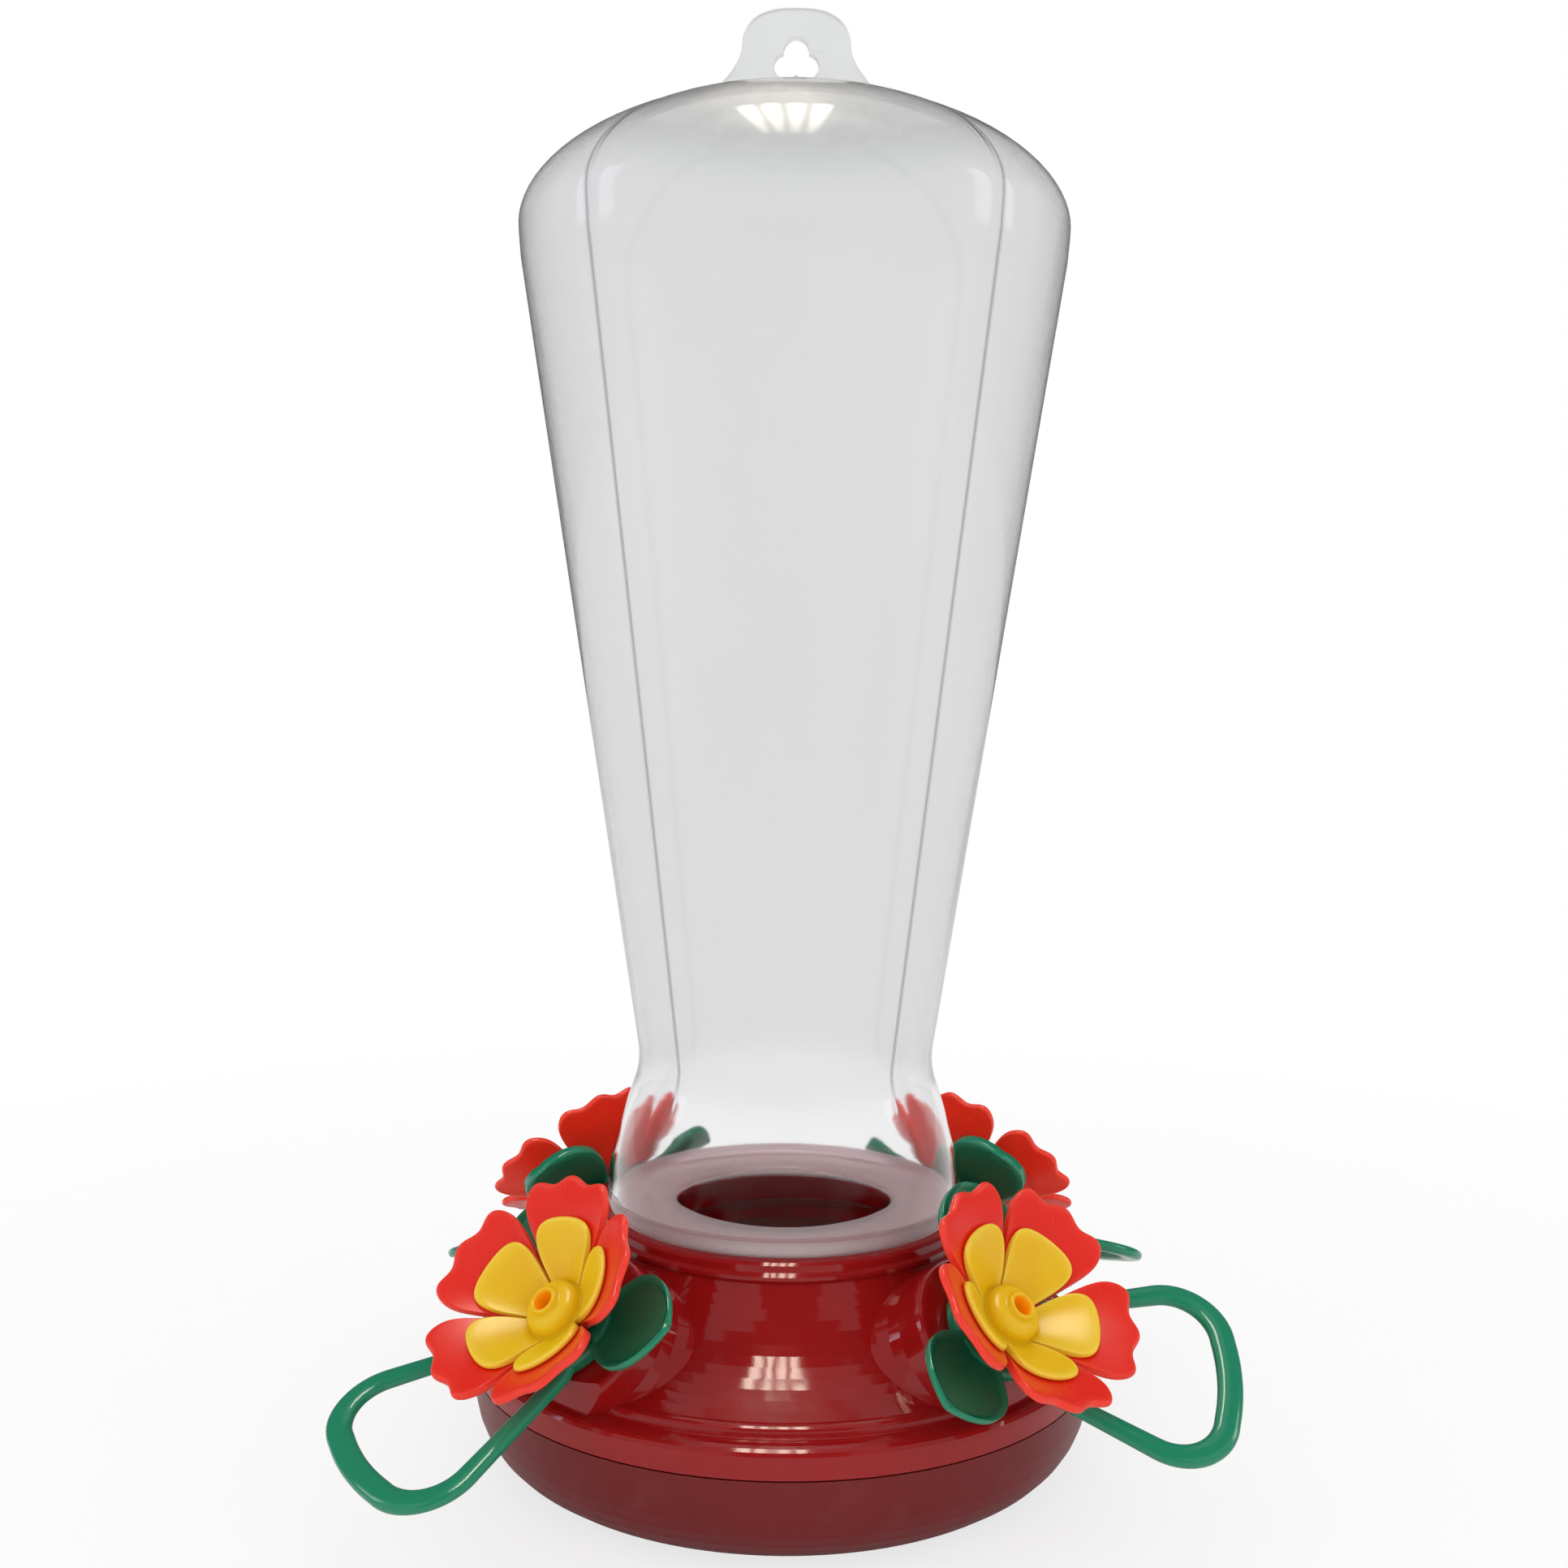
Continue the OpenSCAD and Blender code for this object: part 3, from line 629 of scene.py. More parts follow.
def turning_rule():
    tree, given = new_rule("Turned shell", {"Steps": "Int", "Lobe share": "Float", "Finish": "Material"})
    grid, across, on_line = grid_over(tree, given["Geometry"], given["Steps"])
    even = (across + 0.5) * (2 * math.pi)
    lobe = (even / (math.pi / 2) + 0.5).do("FLOOR")
    within = (even - lobe * (math.pi / 2)) / (math.pi / 4)
    quarter = within * (1.5 - within * within * 0.5) * (math.pi / 4)
    turn = lobe * (math.pi / 2) + quarter

    radius, unused, height = split(tree, on_line())
    lobes = on_line("FLOAT", "lobes")
    shift = radius * lobes * given["Lobe share"]
    side = quarter.do("SINE") * shift
    reach = quarter.do("COSINE") * shift + ((radius - shift) * (radius - shift) - side * side).do("SQRT")
    spot = vector(tree, reach * turn.do("COSINE"), reach * turn.do("SINE"), height)
    away = (math.pi / 4 - quarter.do("ABSOLUTE")) * radius
    marked = store(tree, grid, "tint", on_line("FLOAT", "tint"))
    # The crease mark says where the painted crease shade lies.
    marked = store(tree, marked, "crease", clamp(1 - away / crease_w) * lobes)
    marked = store(tree, marked, "lobed", lobes)
    end_rule(tree, bend(tree, marked, spot, 0.0005), given["Finish"])
    return tree


turned_shell = turning_rule()


def turned(outline, finish, steps=72, lobe_share=0.0):
    """The outline holds (radius, height), and lobes and painted light where they aren't 0"""
    rows = [(*p, 0.0, 0.0)[:4] for p in outline]
    seed = seed_line([(r, 0, z) for r, z, lobes, tint in rows], lobes=[float(p[2]) for p in rows],
                     tint=[float(p[3]) for p in rows])
    return grow(turned_shell, seed, finish, Steps=steps + 1, Lobe_share=lobe_share)


print("turning rule ready")

# %% Bottle outline
def unit(value):
    return max(0.0, min(1.0, value))


def curve(a, b, c, steps):
    """Quadratic curve from a to c, drawn towards b"""
    row = []
    for i in range(steps + 1):
        t = i / steps
        row.append(tuple((1 - t) ** 2 * p + 2 * t * (1 - t) * q + t * t * r for p, q, r in zip(a, b, c)))
    return row


bottle_r = 56.4
waist_r = 30.6
seat_z = 51
waist_z = 82
shoulder_z = 255
shoulder_h = 26.5
wall = 1.5
skirt_r = 37.5
mouth_r = 22.9
neck_r = 24.6
neck_low = 29
lobe_shift = 5
shoulder_steps = 26
dome_rise = 1.08
lobes_from = waist_z - 8
lobes_to = waist_z + 3


def body_outline(inset):
    """From the waist up to the pole of the dome"""
    widest = bottle_r - inset
    rows = [(waist_r - inset + (widest - 0.5 - waist_r + inset) * (z - waist_z)
             / (shoulder_z - 7 - waist_z), z)
            for z in (*range(waist_z + 8, 240, 12), shoulder_z - 11, shoulder_z - 7)]
    rows += [(widest - 0.28, shoulder_z - 4.5), (widest - 0.08, shoulder_z - 2)]
    for i in range(shoulder_steps + 1):
        turn = math.pi / 2 * i / shoulder_steps
        rows.append((widest * math.cos(turn) if i < shoulder_steps else 0.0,
                     shoulder_z + (shoulder_h - inset) * math.sin(turn) ** dome_rise))
    return rows


outside = [(mouth_r + 0.5, neck_low), (neck_r - 0.5, neck_low), (neck_r - 0.1, neck_low + 0.3),
           (neck_r, neck_low + 0.8), (neck_r, 49), (neck_r, seat_z - 0.5), (neck_r + 0.4, seat_z - 0.05),
           (neck_r + 1.5, seat_z), (skirt_r - 3, seat_z)]
outside += curve((skirt_r - 1.6, seat_z), (skirt_r, seat_z + 0.4), (skirt_r, seat_z + 3.5), 8)
outside += curve((skirt_r - 0.05, seat_z + 6), (skirt_r - 0.8, seat_z + 14),
                 (waist_r + 1.5, waist_z - 4), 14)
outside += curve((waist_r + 1.5, waist_z - 4), (waist_r, waist_z),
                 (waist_r + 0.67, waist_z + 4.4), 10)[1:]
outside += body_outline(0)
inside = [(mouth_r, neck_low + 0.5), (mouth_r, 40), (mouth_r, seat_z + 1.2), (mouth_r + 0.8, seat_z + 2)]
inside += curve((skirt_r - wall - 2, seat_z + 2), (skirt_r - wall, seat_z + 2),
                (skirt_r - wall - 0.1, seat_z + 5), 6)
inside += curve((skirt_r - wall - 0.2, seat_z + 8), (skirt_r - wall - 1, seat_z + 15),
                (waist_r - wall + 1.4, waist_z - 4.2), 12)
inside += curve((waist_r - wall + 1.4, waist_z - 4.2), (waist_r - wall, waist_z),
                (waist_r - wall + 0.67, waist_z + 4.4), 10)[1:]
inside += body_outline(wall)


def lobes_at(z):
    """The lobes fade into the round skirt below the waist"""
    share = unit((z - lobes_from) / (lobes_to - lobes_from))
    return share * share * (3 - 2 * share)


# The outside rows carry a painted-light share of 1, so the painted crease shade lies on the outer skin.
outline = [(r, z, lobes_at(z)) for r, z in inside[::-1]] + [(r, z, lobes_at(z), 1) for r, z in outside]
bottle_skin = turned(outline, clear_plastic, steps=256, lobe_share=lobe_shift / bottle_r)
print("bottle skin", round(signed_volume(bottle_skin) / 1000, 1), "cm3")

# %% [markdown]
# ## The hang tab
# A flat tab with a three-lobed hole stands on the dome. A flat 2-D curve is the quickest way
# to such a plate: Blender fills it, cuts the hole and rounds the rims. Its foot ends inside
# the wall of the dome, and an exact union makes tab and bottle one piece. The faces of the
# tab and of the seat then take the milky finish.

# %% Hang tab
tab_w = 22.4
tab_top = 299.9
tab_t = 3
tab_foot = 22
tab_round = 0.5
arch_h = 8.5
hang_z = tab_top - 10.2
lobe_r = 2.6
lobe_x = 2.0
lobe_z = 1.5


def dome_height(x):
    lean = math.acos(min(1.0, abs(x) / bottle_r))
    return shoulder_z + shoulder_h * math.sin(lean) ** dome_rise


def flat_curve(name, loops, thick, rounding):
    data = bpy.data.curves.new(name, "CURVE")
    data.dimensions = "2D"
    data.fill_mode = "BOTH"
    data.extrude = thick / 2 - rounding
    data.bevel_depth = rounding
    data.bevel_resolution = 3
    data.offset = -rounding
    for loop in loops:
        spline = data.splines.new("POLY")
        spline.points.add(len(loop) - 1)
        spline.use_cyclic_u = True
        for point, (x, y) in zip(spline.points, loop):
            point.co = (x, y, 0, 1)
    holder = bpy.data.objects.new(name, data)
    scene.collection.objects.link(holder)
    graph = bpy.context.evaluated_depsgraph_get()
    mesh = bpy.data.meshes.new_from_object(holder.evaluated_get(graph))
    bpy.data.objects.remove(holder)
    pot = bmesh.new()
    pot.from_mesh(mesh)
    bmesh.ops.remove_doubles(pot, verts=pot.verts, dist=0.002)
    bmesh.ops.recalc_face_normals(pot, faces=pot.faces)
    pot.to_mesh(mesh)
    pot.free()
    return mesh


side = curve((tab_foot, dome_height(tab_foot) - 0.6), (tab_w / 2 + 1, tab_top - arch_h - 5),
             (tab_w / 2, tab_top - arch_h), 14)
side += [(tab_w / 2 * math.cos(w) ** 0.8, tab_top - arch_h + arch_h * math.sin(w) ** 0.8)
         for w in (math.radians(a) for a in range(6, 90, 6))]
foot = [(x, dome_height(x) - 0.75) for x in range(-20, 21, 2)]
tab_loop = foot + side + [(0, tab_top)] + [(-x, z) for x, z in side[::-1]]


def hole_reach(turn):
    """Distance from the middle of the hole to the edge of its three round lobes"""
    aim = Vector((math.cos(turn), math.sin(turn)))
    reach = []
    for centre in (Vector((-lobe_x, -lobe_z)), Vector((lobe_x, -lobe_z)), Vector((0, lobe_z))):
        along = centre.dot(aim)
        square = lobe_r ** 2 - centre.length_squared + along ** 2
        reach.append(along + math.sqrt(square) if square > 0 else 0)
    return max(reach)


hole_loop = [(hole_reach(w) * math.cos(w), hang_z + hole_reach(w) * math.sin(w))
             for w in (2 * math.pi * i / 72 for i in range(72))]
tab_mesh = flat_curve("tab", [tab_loop, hole_loop], tab_t, tab_round)
tab_mesh.transform(Matrix.Rotation(math.pi / 2, 4, "X"))
print("hang tab", len(tab_mesh.polygons), "faces")


def join_solids(first, second):
    """An exact union of two plain meshes"""
    carrier = bpy.data.objects.new("carrier", first)
    tool = bpy.data.objects.new("tool", second)
    for thing in (carrier, tool):
        scene.collection.objects.link(thing)
    modifier = carrier.modifiers.new("join", "BOOLEAN")
    modifier.operation = "UNION"
    modifier.solver = "EXACT"
    modifier.object = tool
    graph = bpy.context.evaluated_depsgraph_get()
    result = bpy.data.meshes.new_from_object(carrier.evaluated_get(graph))
    bpy.data.objects.remove(carrier)
    bpy.data.objects.remove(tool)
    return result


bottle_mesh = join_solids(bottle_skin, tab_mesh)
bottle_piece = weld([bottle_mesh], "clear_bottle", clear_plastic)
bottle_piece.data.materials.append(milky_plastic)
for face in bottle_piece.data.polygons:
    x, y, z = face.center / mm
    on_seat = seat_z - 1 < z < seat_z + 4.2 and (math.hypot(x, y) > neck_r + 0.2 or z > seat_z + 0.9)
    on_tab = abs(y) < tab_t / 2 + 0.01 and z > dome_height(x) + 0.2 and abs(x) < tab_foot
    face.material_index = 1 if on_seat or on_tab else 0
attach(bottle_piece, "bottle")
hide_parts("bottle", "bottle_neck")
bottle_piece.visible_shadow = False

# %% [markdown]
# ## The neck thread
# The bottle screws into the base. A thread is a ridge that climbs round the neck by its
# pitch at each turn, so it is made from a spiral with a small round section that thins
# out at both ends.

# %% Neck thread
thread_pitch = 6
thread_turns = 2.25
thread_low = 33


def thread_rule():
    tree, given = new_rule("Neck thread", {"Turns": "Float", "Radius": "Float", "Rise": "Float",
                                           "Ridge": "Float", "Finish": "Material"})
    spiral = place(tree, "GeometryNodeCurveSpiral", {
        "Resolution": 64, "Rotations": given["Turns"], "Start Radius": given["Radius"],
        "End Radius": given["Radius"], "Height": given["Rise"]})
    along = out(tree, place(tree, "GeometryNodeSplineParameter"), "Factor")
    taper = clamp((along * (1 - along) * 4) ** 0.3 * 1.2)
    sized = place(tree, "GeometryNodeSetCurveRadius", {"Curve": out(tree, spiral), "Radius": taper})
    ring = place(tree, "GeometryNodeCurvePrimitiveCircle", {"Resolution": 10, "Radius": given["Ridge"]})
    swept = place(tree, "GeometryNodeCurveToMesh", {
        "Curve": out(tree, sized), "Profile Curve": out(tree, ring), "Fill Caps": True})
    end_rule(tree, out(tree, swept), given["Finish"])
    return tree


thread_mesh = grow(thread_rule(), seed_line([(0, 0, 0)]), clear_plastic, Turns=thread_turns,
                   Radius=neck_r + 0.1, Rise=thread_pitch * thread_turns, Ridge=1.1)
thread_piece = weld([thread_mesh], "neck_thread", clear_plastic, Matrix.Translation((0, 0, thread_low)))
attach(thread_piece, "bottle")
thread_piece.visible_shadow = False

# %% [markdown]
# ## The base
# Cover, dish and seals are turned and bored solids that the CAD model already has right, so
# they keep their CAD meshes and only take their finishes.

# %% Base
def paint(node, finish):
    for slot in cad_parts[node].material_slots:
        slot.material = finish


for node in ("base_cover", "cover_rim", "cover_socket"):
    paint(node, red_plastic)
for node in ("base_seal", "neck_seal"):
    paint(node, seal_rubber)
paint("base_dish", dish_plastic)
print("base finished")

# %% [markdown]
# ## Petals by a rule
# A flower is five equal petals round an axis. One petal is a sheet that follows the cup of
# the flower. Its plan is a superellipse in polar form: columns fan out between two slits,
# and each runs from the hub to a rim with three shallow scallops. A closed section, with a
# round rim, gives the sheet its thickness, and five instances make the flower.

# %% Petal rule
def petal_rule():
    floats = ("Hub radius", "Slit root", "Rim radius", "Low radius", "Low height", "Middle radius",
              "Middle height", "End radius", "End height", "Lift", "Thickness", "Slit", "Side power",
              "Rim power", "Scallop", "Back tint")
    tree, given = new_rule("Petal ring", {"Petals": "Int", "Columns": "Int",
                                          **dict.fromkeys(floats, "Float"), "Finish": "Material"})
    grid, column, on_line = grid_over(tree, given["Geometry"], given["Columns"], 2.0)
    share, depth, unused = split(tree, on_line())

    sweep = column.do("ABSOLUTE").do("MINIMUM", 1) ** (given["Side power"] / 2) * (math.pi / 2)
    across = sweep.do("SINE") ** (2.0 / given["Side power"])
    rise = sweep.do("COSINE").do("MAXIMUM", 0) ** (2.0 / given["Rim power"])
    wave = (across * (3 * math.pi)).do("COSINE") * rise ** 4 * given["Scallop"]
    edge = given["Slit root"] + (given["Rim radius"] - given["Slit root"]) * rise + wave
    radius = given["Hub radius"] + (edge - given["Hub radius"]).do("MAXIMUM", 0) * share
    turn = column.do("SIGN") * across * (math.pi / given["Petals"] - given["Slit"])

    low_r, low_h, mid_r, mid_h, end_r, end_h = (given[name] for name in floats[3:9])
    a = low_r - mid_r * 2 + end_r
    b = (mid_r - low_r) * 2
    c = low_r - radius
    t = ((b * b - a * c * 4).do("SQRT") - b) / (a * 2)
    s = 1 - t
    height = s * s * low_h + s * t * 2 * mid_h + t * t * end_h
    run = s * (mid_r - low_r) + t * (end_r - mid_r)
    climb = s * (mid_h - low_h) + t * (end_h - mid_h)
    length = (run * run + climb * climb).do("SQRT")
    off = given["Lift"] - depth * given["Thickness"]
    r = radius - climb / length * off
    h = height + run / length * off
    # Near the rim the rim mark paints a paler highlight. The back of the sheet is marked for painted
    # light: a brighter red on the red petals, a darker orange with a glow on the yellow ones.
    to_rim = (edge - radius).do("MINIMUM", (1 - across) * radius * 0.6)
    marked = store(tree, grid, "rim", clamp(1 - to_rim * 0.55))
    marked = store(tree, marked, "tint", depth * given["Back tint"])
    petal = bend(tree, marked, vector(tree, r * turn.do("COSINE"), r * turn.do("SINE"), h), 0.002)
    points = place(tree, "GeometryNodePoints", {"Count": given["Petals"]})
    index = out(tree, place(tree, "GeometryNodeInputIndex"))
    angle = (index + 0.5) * (2 * math.pi / given["Petals"])
    copies = place(tree, "GeometryNodeInstanceOnPoints", {
        "Points": out(tree, points), "Instance": petal, "Rotation": vector(tree, 0.0, 0.0, angle)})
    end_rule(tree, out(tree, copies), given["Finish"])
    return tree


petal_ring = petal_rule()


def sheet_section(steps, round_share):
    """Closed section of a thin sheet: share of the way to the rim, and depth below the front"""
    rows = [(i / steps * (1 - round_share), 0, 0) for i in range(steps + 1)]
    rows += [(1 - round_share + round_share * math.sin(w), 0.5 - 0.5 * math.cos(w), 0)
             for w in (math.radians(a) for a in range(22, 179, 22))]
    rows += [(i / steps * (1 - round_share), 1, 0) for i in range(steps, -1, -1)]
    return seed_line(rows + [rows[0]])


print("petal rule ready")

# %% [markdown]
# ## The ports
# Each flower stands on a slanted boss, and the first is at the front left. A port frame
# carries a flower drawn round the Z axis to its boss: out along the axis, up the face, and
# sideways. Every flower and perch is turned a little differently, as hands leave them.

# %% Port frames
port_r = 56.2
port_z = 38.2
port_tilt = 42.5
first_port = 225
slit_turn = (67, 70, 59, 36)
perch_turn = (-14, 47, -18, 3)


def port_frame(k, turn=0.0, lift=0.0):
    return (Matrix.Rotation(math.radians(first_port + 90 * k), 4, "Z")
            @ Matrix.Translation((port_r, 0, port_z))
            @ Matrix.Rotation(math.radians(90 - port_tilt), 4, "Y")
            @ Matrix.Rotation(math.radians(90 + turn), 4, "Z")
            @ Matrix.Translation((0, 0, lift)))


print("port 1 face", [round(v, 1) for v in port_frame(0).translation])

# %% [markdown]
# ## The red flowers
# The petals meet in a hub that carries the spigot below. The hub is turned, and the petals
# come from the rule. They lie on one cup, a quadratic curve that both flowers share.

# %% Red flowers
gap = 0.3
bore_r = 6.3
spigot_r = bore_r - gap
tube_r = spigot_r - 1.3
flower_z = 3.2 + 2 * gap
petal_t = 1.5
petal_slit = math.radians(2.2)
cup_high = 17.0
floor_z = flower_z + petal_t + 0.1
cup = {"Low_radius": spigot_r + 0.5, "Low_height": floor_z, "Middle_radius": 13.5, "Middle_height": 12.2,
       "End_radius": 22.5, "End_height": cup_high}

red_petals = grow(petal_ring, sheet_section(14, 0.035), petal_plastic, Petals=5, Columns=61,
                  Hub_radius=6.6, Slit_root=7.0, Rim_radius=22.6, Lift=0.0, Thickness=petal_t,
                  Slit=petal_slit, Side_power=7.0, Rim_power=5.0, Scallop=0.6, Back_tint=1.0, **cup)
red_hub = turned([(tube_r, -9), (spigot_r - 0.3, -9), (spigot_r, -8.6), (spigot_r, flower_z),
                  (spigot_r + 1.5, flower_z + 0.1), (9.2, flower_z + 2.3), (8.8, floor_z + 1.9),
                  (spigot_r + 0.6, floor_z - 0.02), (tube_r, floor_z - 0.05), (tube_r, -9)],
                 petal_plastic)
for k in range(4):
    flower = weld([red_petals, red_hub], "red_flower_%d" % (k + 1), petal_plastic,
                  port_frame(k, slit_turn[k]))
    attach(flower, "flower_%d" % (k + 1))
    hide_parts("petals_%d" % (k + 1))

# %% [markdown]
# ## The yellow flowers
# The inner flower lies on the red one. Its five petals come from the same rule with
# rounder corners, and its raised middle with the feeding hole is turned. Inside the hole,
# and faintly on the backs of the petals, a darker orange and an orange glow are painted on,
# standing in for the light that reaches there only through the walls.

# %% Yellow flowers
lie_gap = 0.15
inner_t = 1.2
stem_r = tube_r - gap
feed_r = 1.8
dome_r = 5.8
nozzle_z = cup_high - 5.6
dome_low = floor_z + 1.7
tube_low = -12

yellow_petals = grow(petal_ring, sheet_section(10, 0.06), yellow_plastic, Petals=5, Columns=49,
                     Hub_radius=5.4, Slit_root=dome_r + 0.3, Rim_radius=16.5, Lift=lie_gap + inner_t,
                     Thickness=inner_t, Slit=petal_slit, Side_power=5.0, Rim_power=3.4, Scallop=0.0,
                     Back_tint=0.3, **cup)
inner_r = feed_r + 0.05
dome_outline = [(stem_r - 1, tube_low), (stem_r - 0.2, tube_low), (stem_r, tube_low + 0.3),
                (stem_r, floor_z + lie_gap), (dome_r + 0.6, floor_z + lie_gap),
                (dome_r + 0.7, floor_z + 1.6), (dome_r, dome_low + 0.1)]
dome_outline += curve((dome_r - 0.02, dome_low + 0.6), (dome_r - 0.3, nozzle_z - 1.7),
                      (feed_r + 1.5, nozzle_z - 1.35), 10)
# The rows inside the hole carry a painted-light share, for the painted orange and glow.
dome_outline += [(feed_r + 1.15, nozzle_z - 1.1), (feed_r + 1.05, nozzle_z - 0.35),
                 (feed_r + 0.8, nozzle_z - 0.05), (feed_r + 0.5, nozzle_z, 0, 0.1),
                 (feed_r + 0.15, nozzle_z - 0.3, 0, 0.5), (inner_r, nozzle_z - 0.9, 0, 1),
                 (inner_r, dome_low + 1, 0, 1), (stem_r - 1, dome_low - 0.6, 0, 1),
                 (stem_r - 1, tube_low, 0, 1)]
yellow_dome = turned(dome_outline, yellow_plastic)
for k in range(4):
    flower = weld([yellow_petals, yellow_dome], "yellow_flower_%d" % (k + 1), yellow_plastic,
                  port_frame(k, slit_turn[k]))
    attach(flower, "flower_%d" % (k + 1))
    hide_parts("nozzle_%d" % (k + 1))

# %% [markdown]
# ## The perches
# A perch is a ring round the flower's stem, a bent loop for the feet, and two leaves. The
# loop is a bar that follows a path and gets wider outwards, so a rule lays an oval
# section on every point of the path.

# %% Swept bar rule
def bar_rule():
    tree, given = new_rule("Swept bar", {"Sides": "Int", "Finish": "Material"})
    grid, across, on_line = grid_over(tree, given["Geometry"], given["Sides"])
    turn = (across + 0.5) * (2 * math.pi)
    spot = on_line()
    for name, factor in (("side", turn.do("COSINE")), ("top", turn.do("SINE"))):
        oval = factor.do("ABSOLUTE") ** 0.75 * factor.do("SIGN")
        reach = place(tree, "ShaderNodeVectorMath", {0: on_line("FLOAT_VECTOR", name), "Scale": oval},
                      operation="SCALE")
        both = place(tree, "ShaderNodeVectorMath", {0: spot, 1: out(tree, reach)}, operation="ADD")
        spot = out(tree, both)
    # The whole bar is marked as rim, so all of it takes the painted rim highlight and shows lighter than
    # the leaves.
    marked = store(tree, grid, "rim", 1.0)
    end_rule(tree, bend(tree, marked, spot, 0.001), given["Finish"])
    return tree


swept_bar = bar_rule()
print("bar rule ready")

# %% Perch loop path
ring_t = 3.2
ring_r = 10.5
bend_x = 8
loop_len = 37
loop_w = 22
loop_root_w = 8
loop_bulge = 2.3
loop_bend = math.radians(26)
bar_w = 3.2
bar_end_w = 5
bar_t = 2.6
corner_r = 10


def half_loop():
    """Half of the loop's centre line before it is bent: (outwards, sideways)"""
    low = Vector((0, loop_root_w))
    high = Vector((loop_len, loop_w))
    end = Vector((loop_len + loop_bulge, 0))
    d1 = (low - high).normalized()
    d2 = (end - high).normalized()
    half = math.acos(d1.dot(d2)) / 2
    t1 = high + d1 * corner_r / math.tan(half)
    t2 = high + d2 * corner_r / math.tan(half)
    centre = high + (d1 + d2).normalized() * corner_r / math.sin(half)
    a1 = math.atan2(*(t1 - centre).yx)
    a2 = math.atan2(*(t2 - centre).yx)
    rows = [Vector((-3.2, 6.9)), Vector((-1.6, 7.45))]
    rows += [low.lerp(t1, i / 9) for i in range(9)]
    rows += [centre + corner_r * Vector((math.cos(w), math.sin(w)))
             for w in (a1 + (a2 - a1) * i / 20 for i in range(21))]
    return rows + [Vector((end.x - (end.x - t2.x) * w * w, t2.y * w)) for w in (0.8, 0.6, 0.4, 0.2, 0)]


def loop_seed():
    half = half_loop()
    flat = half + [Vector((p.x, -p.y)) for p in half[-2::-1]]
    lift = Vector((math.cos(loop_bend), 0, math.sin(loop_bend)))
    path = []
    for p in flat:
        base = Vector((bend_x, p.y, ring_t / 2))
        path.append(base + (Vector((p.x, 0, 0)) if p.x <= 0 else lift * p.x))
    side, top = [], []
    for i, p in enumerate(flat):
        ahead = (path[min(i + 1, len(path) - 1)] - path[max(i - 1, 0)]).normalized()
        lean = 0 if p.x < -0.01 else loop_bend / 2 if p.x < 0.01 else loop_bend
        up = Vector((-math.sin(lean), 0, math.cos(lean)))
        across = up.cross(ahead).normalized()
        wide = bar_w + (bar_end_w - bar_w) * unit(p.x / loop_len) ** 1.5
        side.append(across * wide / 2)
        top.append(ahead.cross(across) * bar_t / 2)
    path = [path[0]] + path + [path[-1]]
    nothing = Vector((0, 0, 0))
    return seed_line(path, side=[nothing] + side + [nothing], top=[nothing] + top + [nothing])


loop_mesh = grow(swept_bar, loop_seed(), green_plastic, Sides=17)
ring_mesh = turned([(bore_r, 0.4), (bore_r + 0.4, 0), (ring_r - 0.6, 0), (ring_r - 0.15, 0.25),
                    (ring_r, 0.8), (ring_r, ring_t - 0.8), (ring_r - 0.15, ring_t - 0.25),
                    (ring_r - 0.6, ring_t), (bore_r + 0.4, ring_t), (bore_r, ring_t - 0.4),
                    (bore_r, 0.4)], green_plastic)
print("perch loop and ring", len(loop_mesh.polygons), len(ring_mesh.polygons), "faces")

# %% [markdown]
# ## The leaves
# A leaf is a cupped blade with a raised rim and a faint vein. It is small and free in
# shape, so it is written point by point: a front and a back sheet over the same plan, with
# closer rows towards the rims, closed by a wall round the edge.

# %% Leaves
leaf_root = 8.4
leaf_len = 28.5
leaf_w = 18.6
leaf_turn = 115
leaf_lift = 4.5
leaf_t = 1.3
leaf_rows = 26
leaf_columns = 24
rim_rise = 0.5
rim_reach = 1.6
vein_deep = 0.18
vein_w = 0.7


def leaf_half_width(s):
    if s < 0.5:
        return leaf_w / 2 * (0.45 + 0.55 * math.sin(math.pi * s))
    return leaf_w / 2 * (0.02 + 0.98 * max(0.0, 1 - (2 * s - 1) ** 2.2) ** 0.62)


def leaf_to_edge(s, q):
    return min((1 - abs(q)) * leaf_half_width(s), (1 - s) * (leaf_len - leaf_root))


def leaf_height(s, q):
    wide = leaf_half_width(s)
    cupped = 2.2 * abs(q) ** 2.4 * wide / leaf_w * 2
    rim = rim_rise * unit(rim_reach - leaf_to_edge(s, q))
    vein = vein_deep * math.exp(-(q * wide / vein_w) ** 2) * (1 - s)
    return ring_t / 2 - 0.1 + leaf_lift * s ** 1.6 + cupped + rim - vein


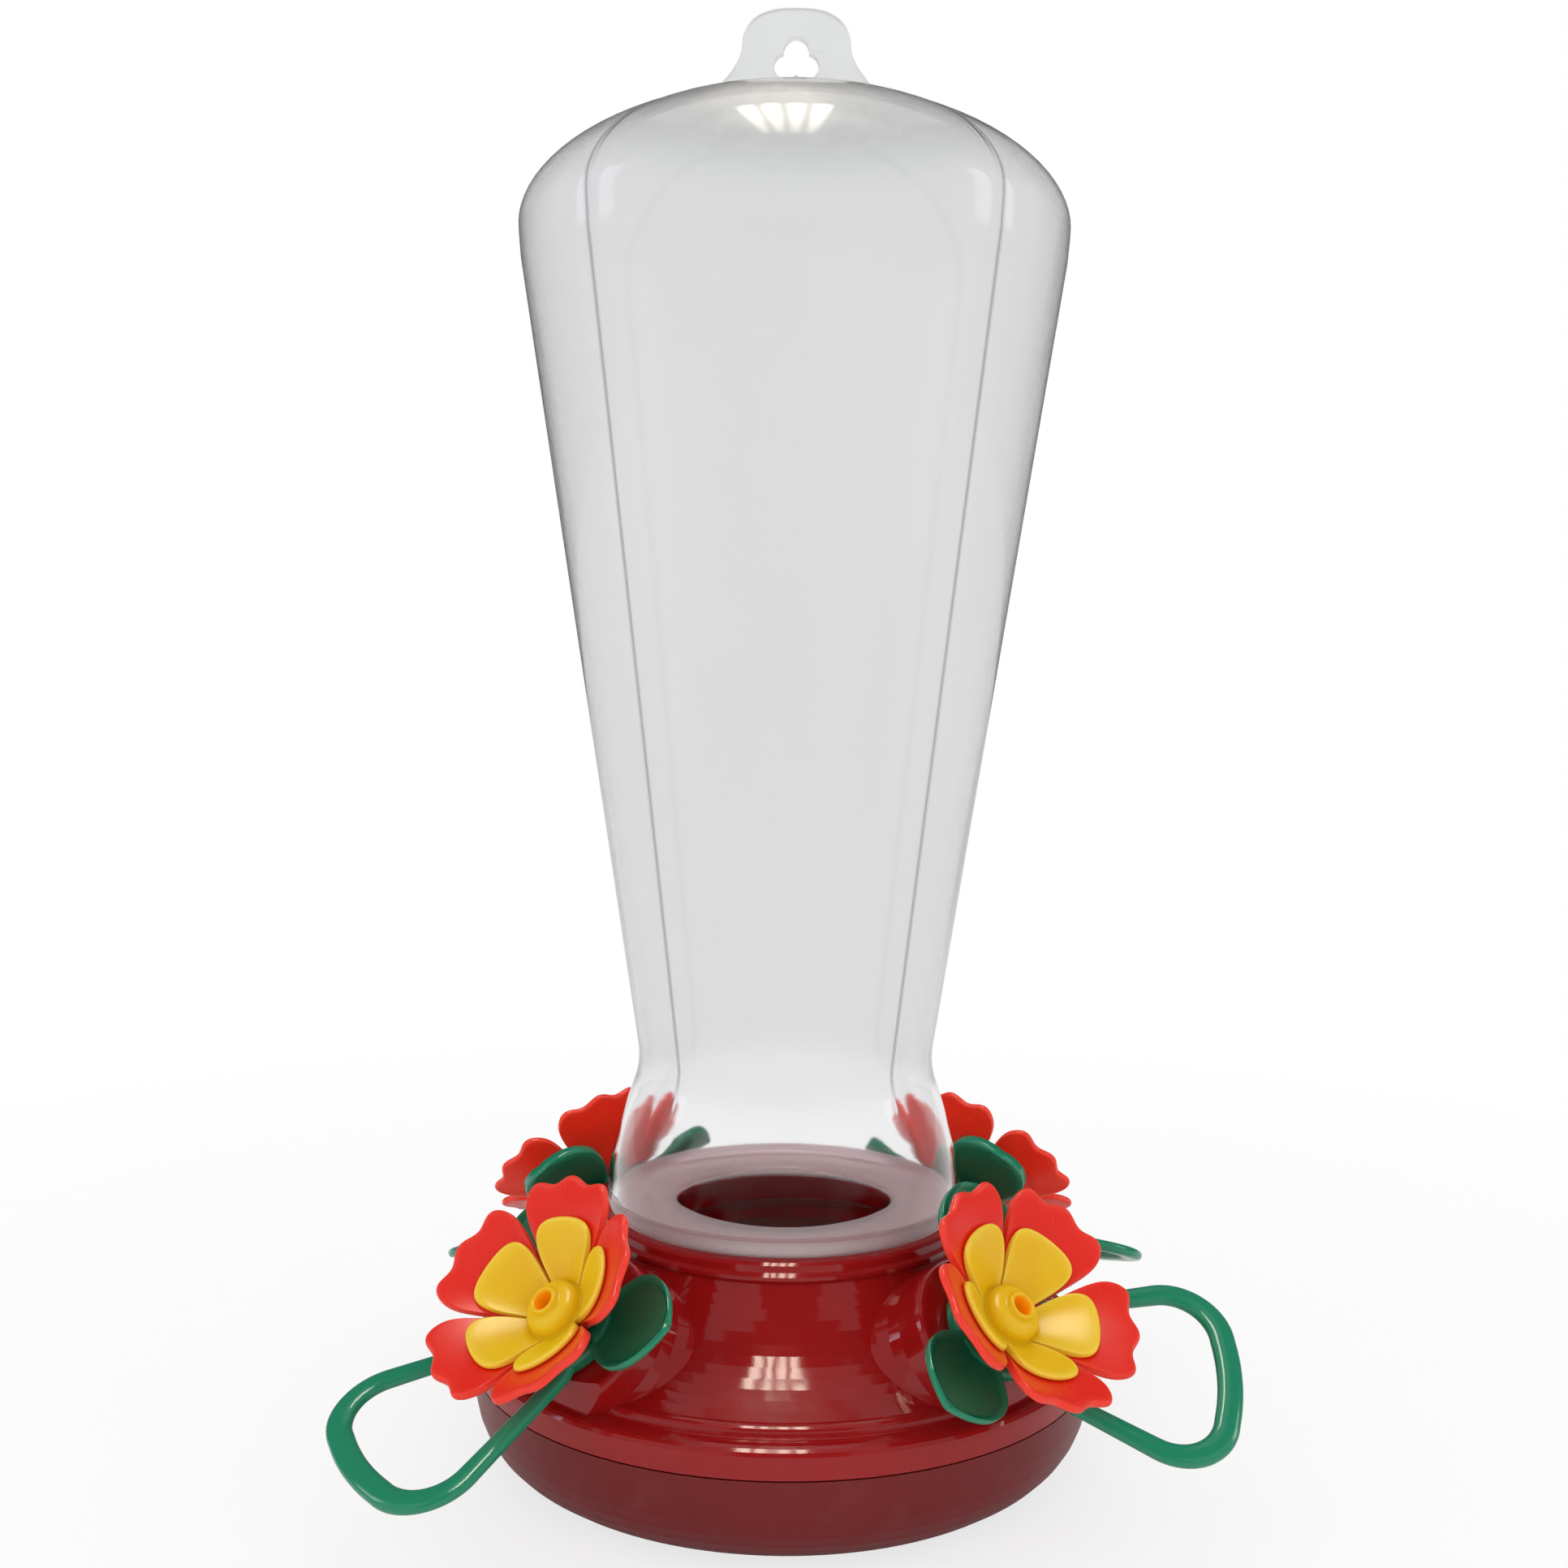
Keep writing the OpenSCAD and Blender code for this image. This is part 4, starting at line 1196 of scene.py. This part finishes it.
def leaf_mesh():
    pot = bmesh.new()
    mark = pot.verts.layers.float.new("rim")
    sheets = []
    for side_t in (-leaf_t / 2, leaf_t / 2):
        rows = []
        for i in range(leaf_rows + 1):
            s = 1 - (1 - i / leaf_rows) ** 1.7
            wide = leaf_half_width(s)
            row = []
            for j in range(leaf_columns + 1):
                q = 2 * j / leaf_columns - 1
                q = q * (1.5 - 0.5 * q * q)
                z = leaf_height(s, q)
                if side_t < 0:
                    z -= rim_rise * unit(rim_reach - (1 - abs(q)) * wide)
                vert = pot.verts.new((leaf_root + (leaf_len - leaf_root) * s, q * wide, z + side_t))
                # The rim mark paints a paler highlight near the leaf's edge.
                vert[mark] = unit(1.5 - leaf_to_edge(s, q))
                row.append(vert)
            rows.append(row)
        sheets.append(rows)
    under, over = sheets
    for i in range(leaf_rows):
        for j in range(leaf_columns):
            pot.faces.new((over[i][j], over[i + 1][j], over[i + 1][j + 1], over[i][j + 1]))
            pot.faces.new((under[i][j + 1], under[i + 1][j + 1], under[i + 1][j], under[i][j]))
    edge = [(i, 0) for i in range(leaf_rows)] + [(leaf_rows, j) for j in range(leaf_columns)]
    edge += [(i, leaf_columns) for i in range(leaf_rows, 0, -1)]
    edge += [(0, j) for j in range(leaf_columns, 0, -1)]
    for (i, j), (m, n) in zip(edge, edge[1:] + edge[:1]):
        pot.faces.new((over[i][j], over[m][n], under[m][n], under[i][j]))
    bmesh.ops.recalc_face_normals(pot, faces=pot.faces)
    mesh = bpy.data.meshes.new("leaf")
    pot.to_mesh(mesh)
    pot.free()
    face_outwards(mesh)
    return mesh


leaf = leaf_mesh()


def turned_copy(mesh, degrees):
    copy = mesh.copy()
    copy.transform(Matrix.Rotation(math.radians(degrees), 4, "Z"))
    return copy


perch_parts = [loop_mesh, ring_mesh, turned_copy(leaf, leaf_turn), turned_copy(leaf, -leaf_turn)]
for k in range(4):
    perch = weld(perch_parts, "green_perch_%d" % (k + 1), green_plastic,
                 port_frame(k, perch_turn[k] - 90, gap))
    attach(perch, "perch_%d" % (k + 1))
    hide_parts("perch_%d" % (k + 1))
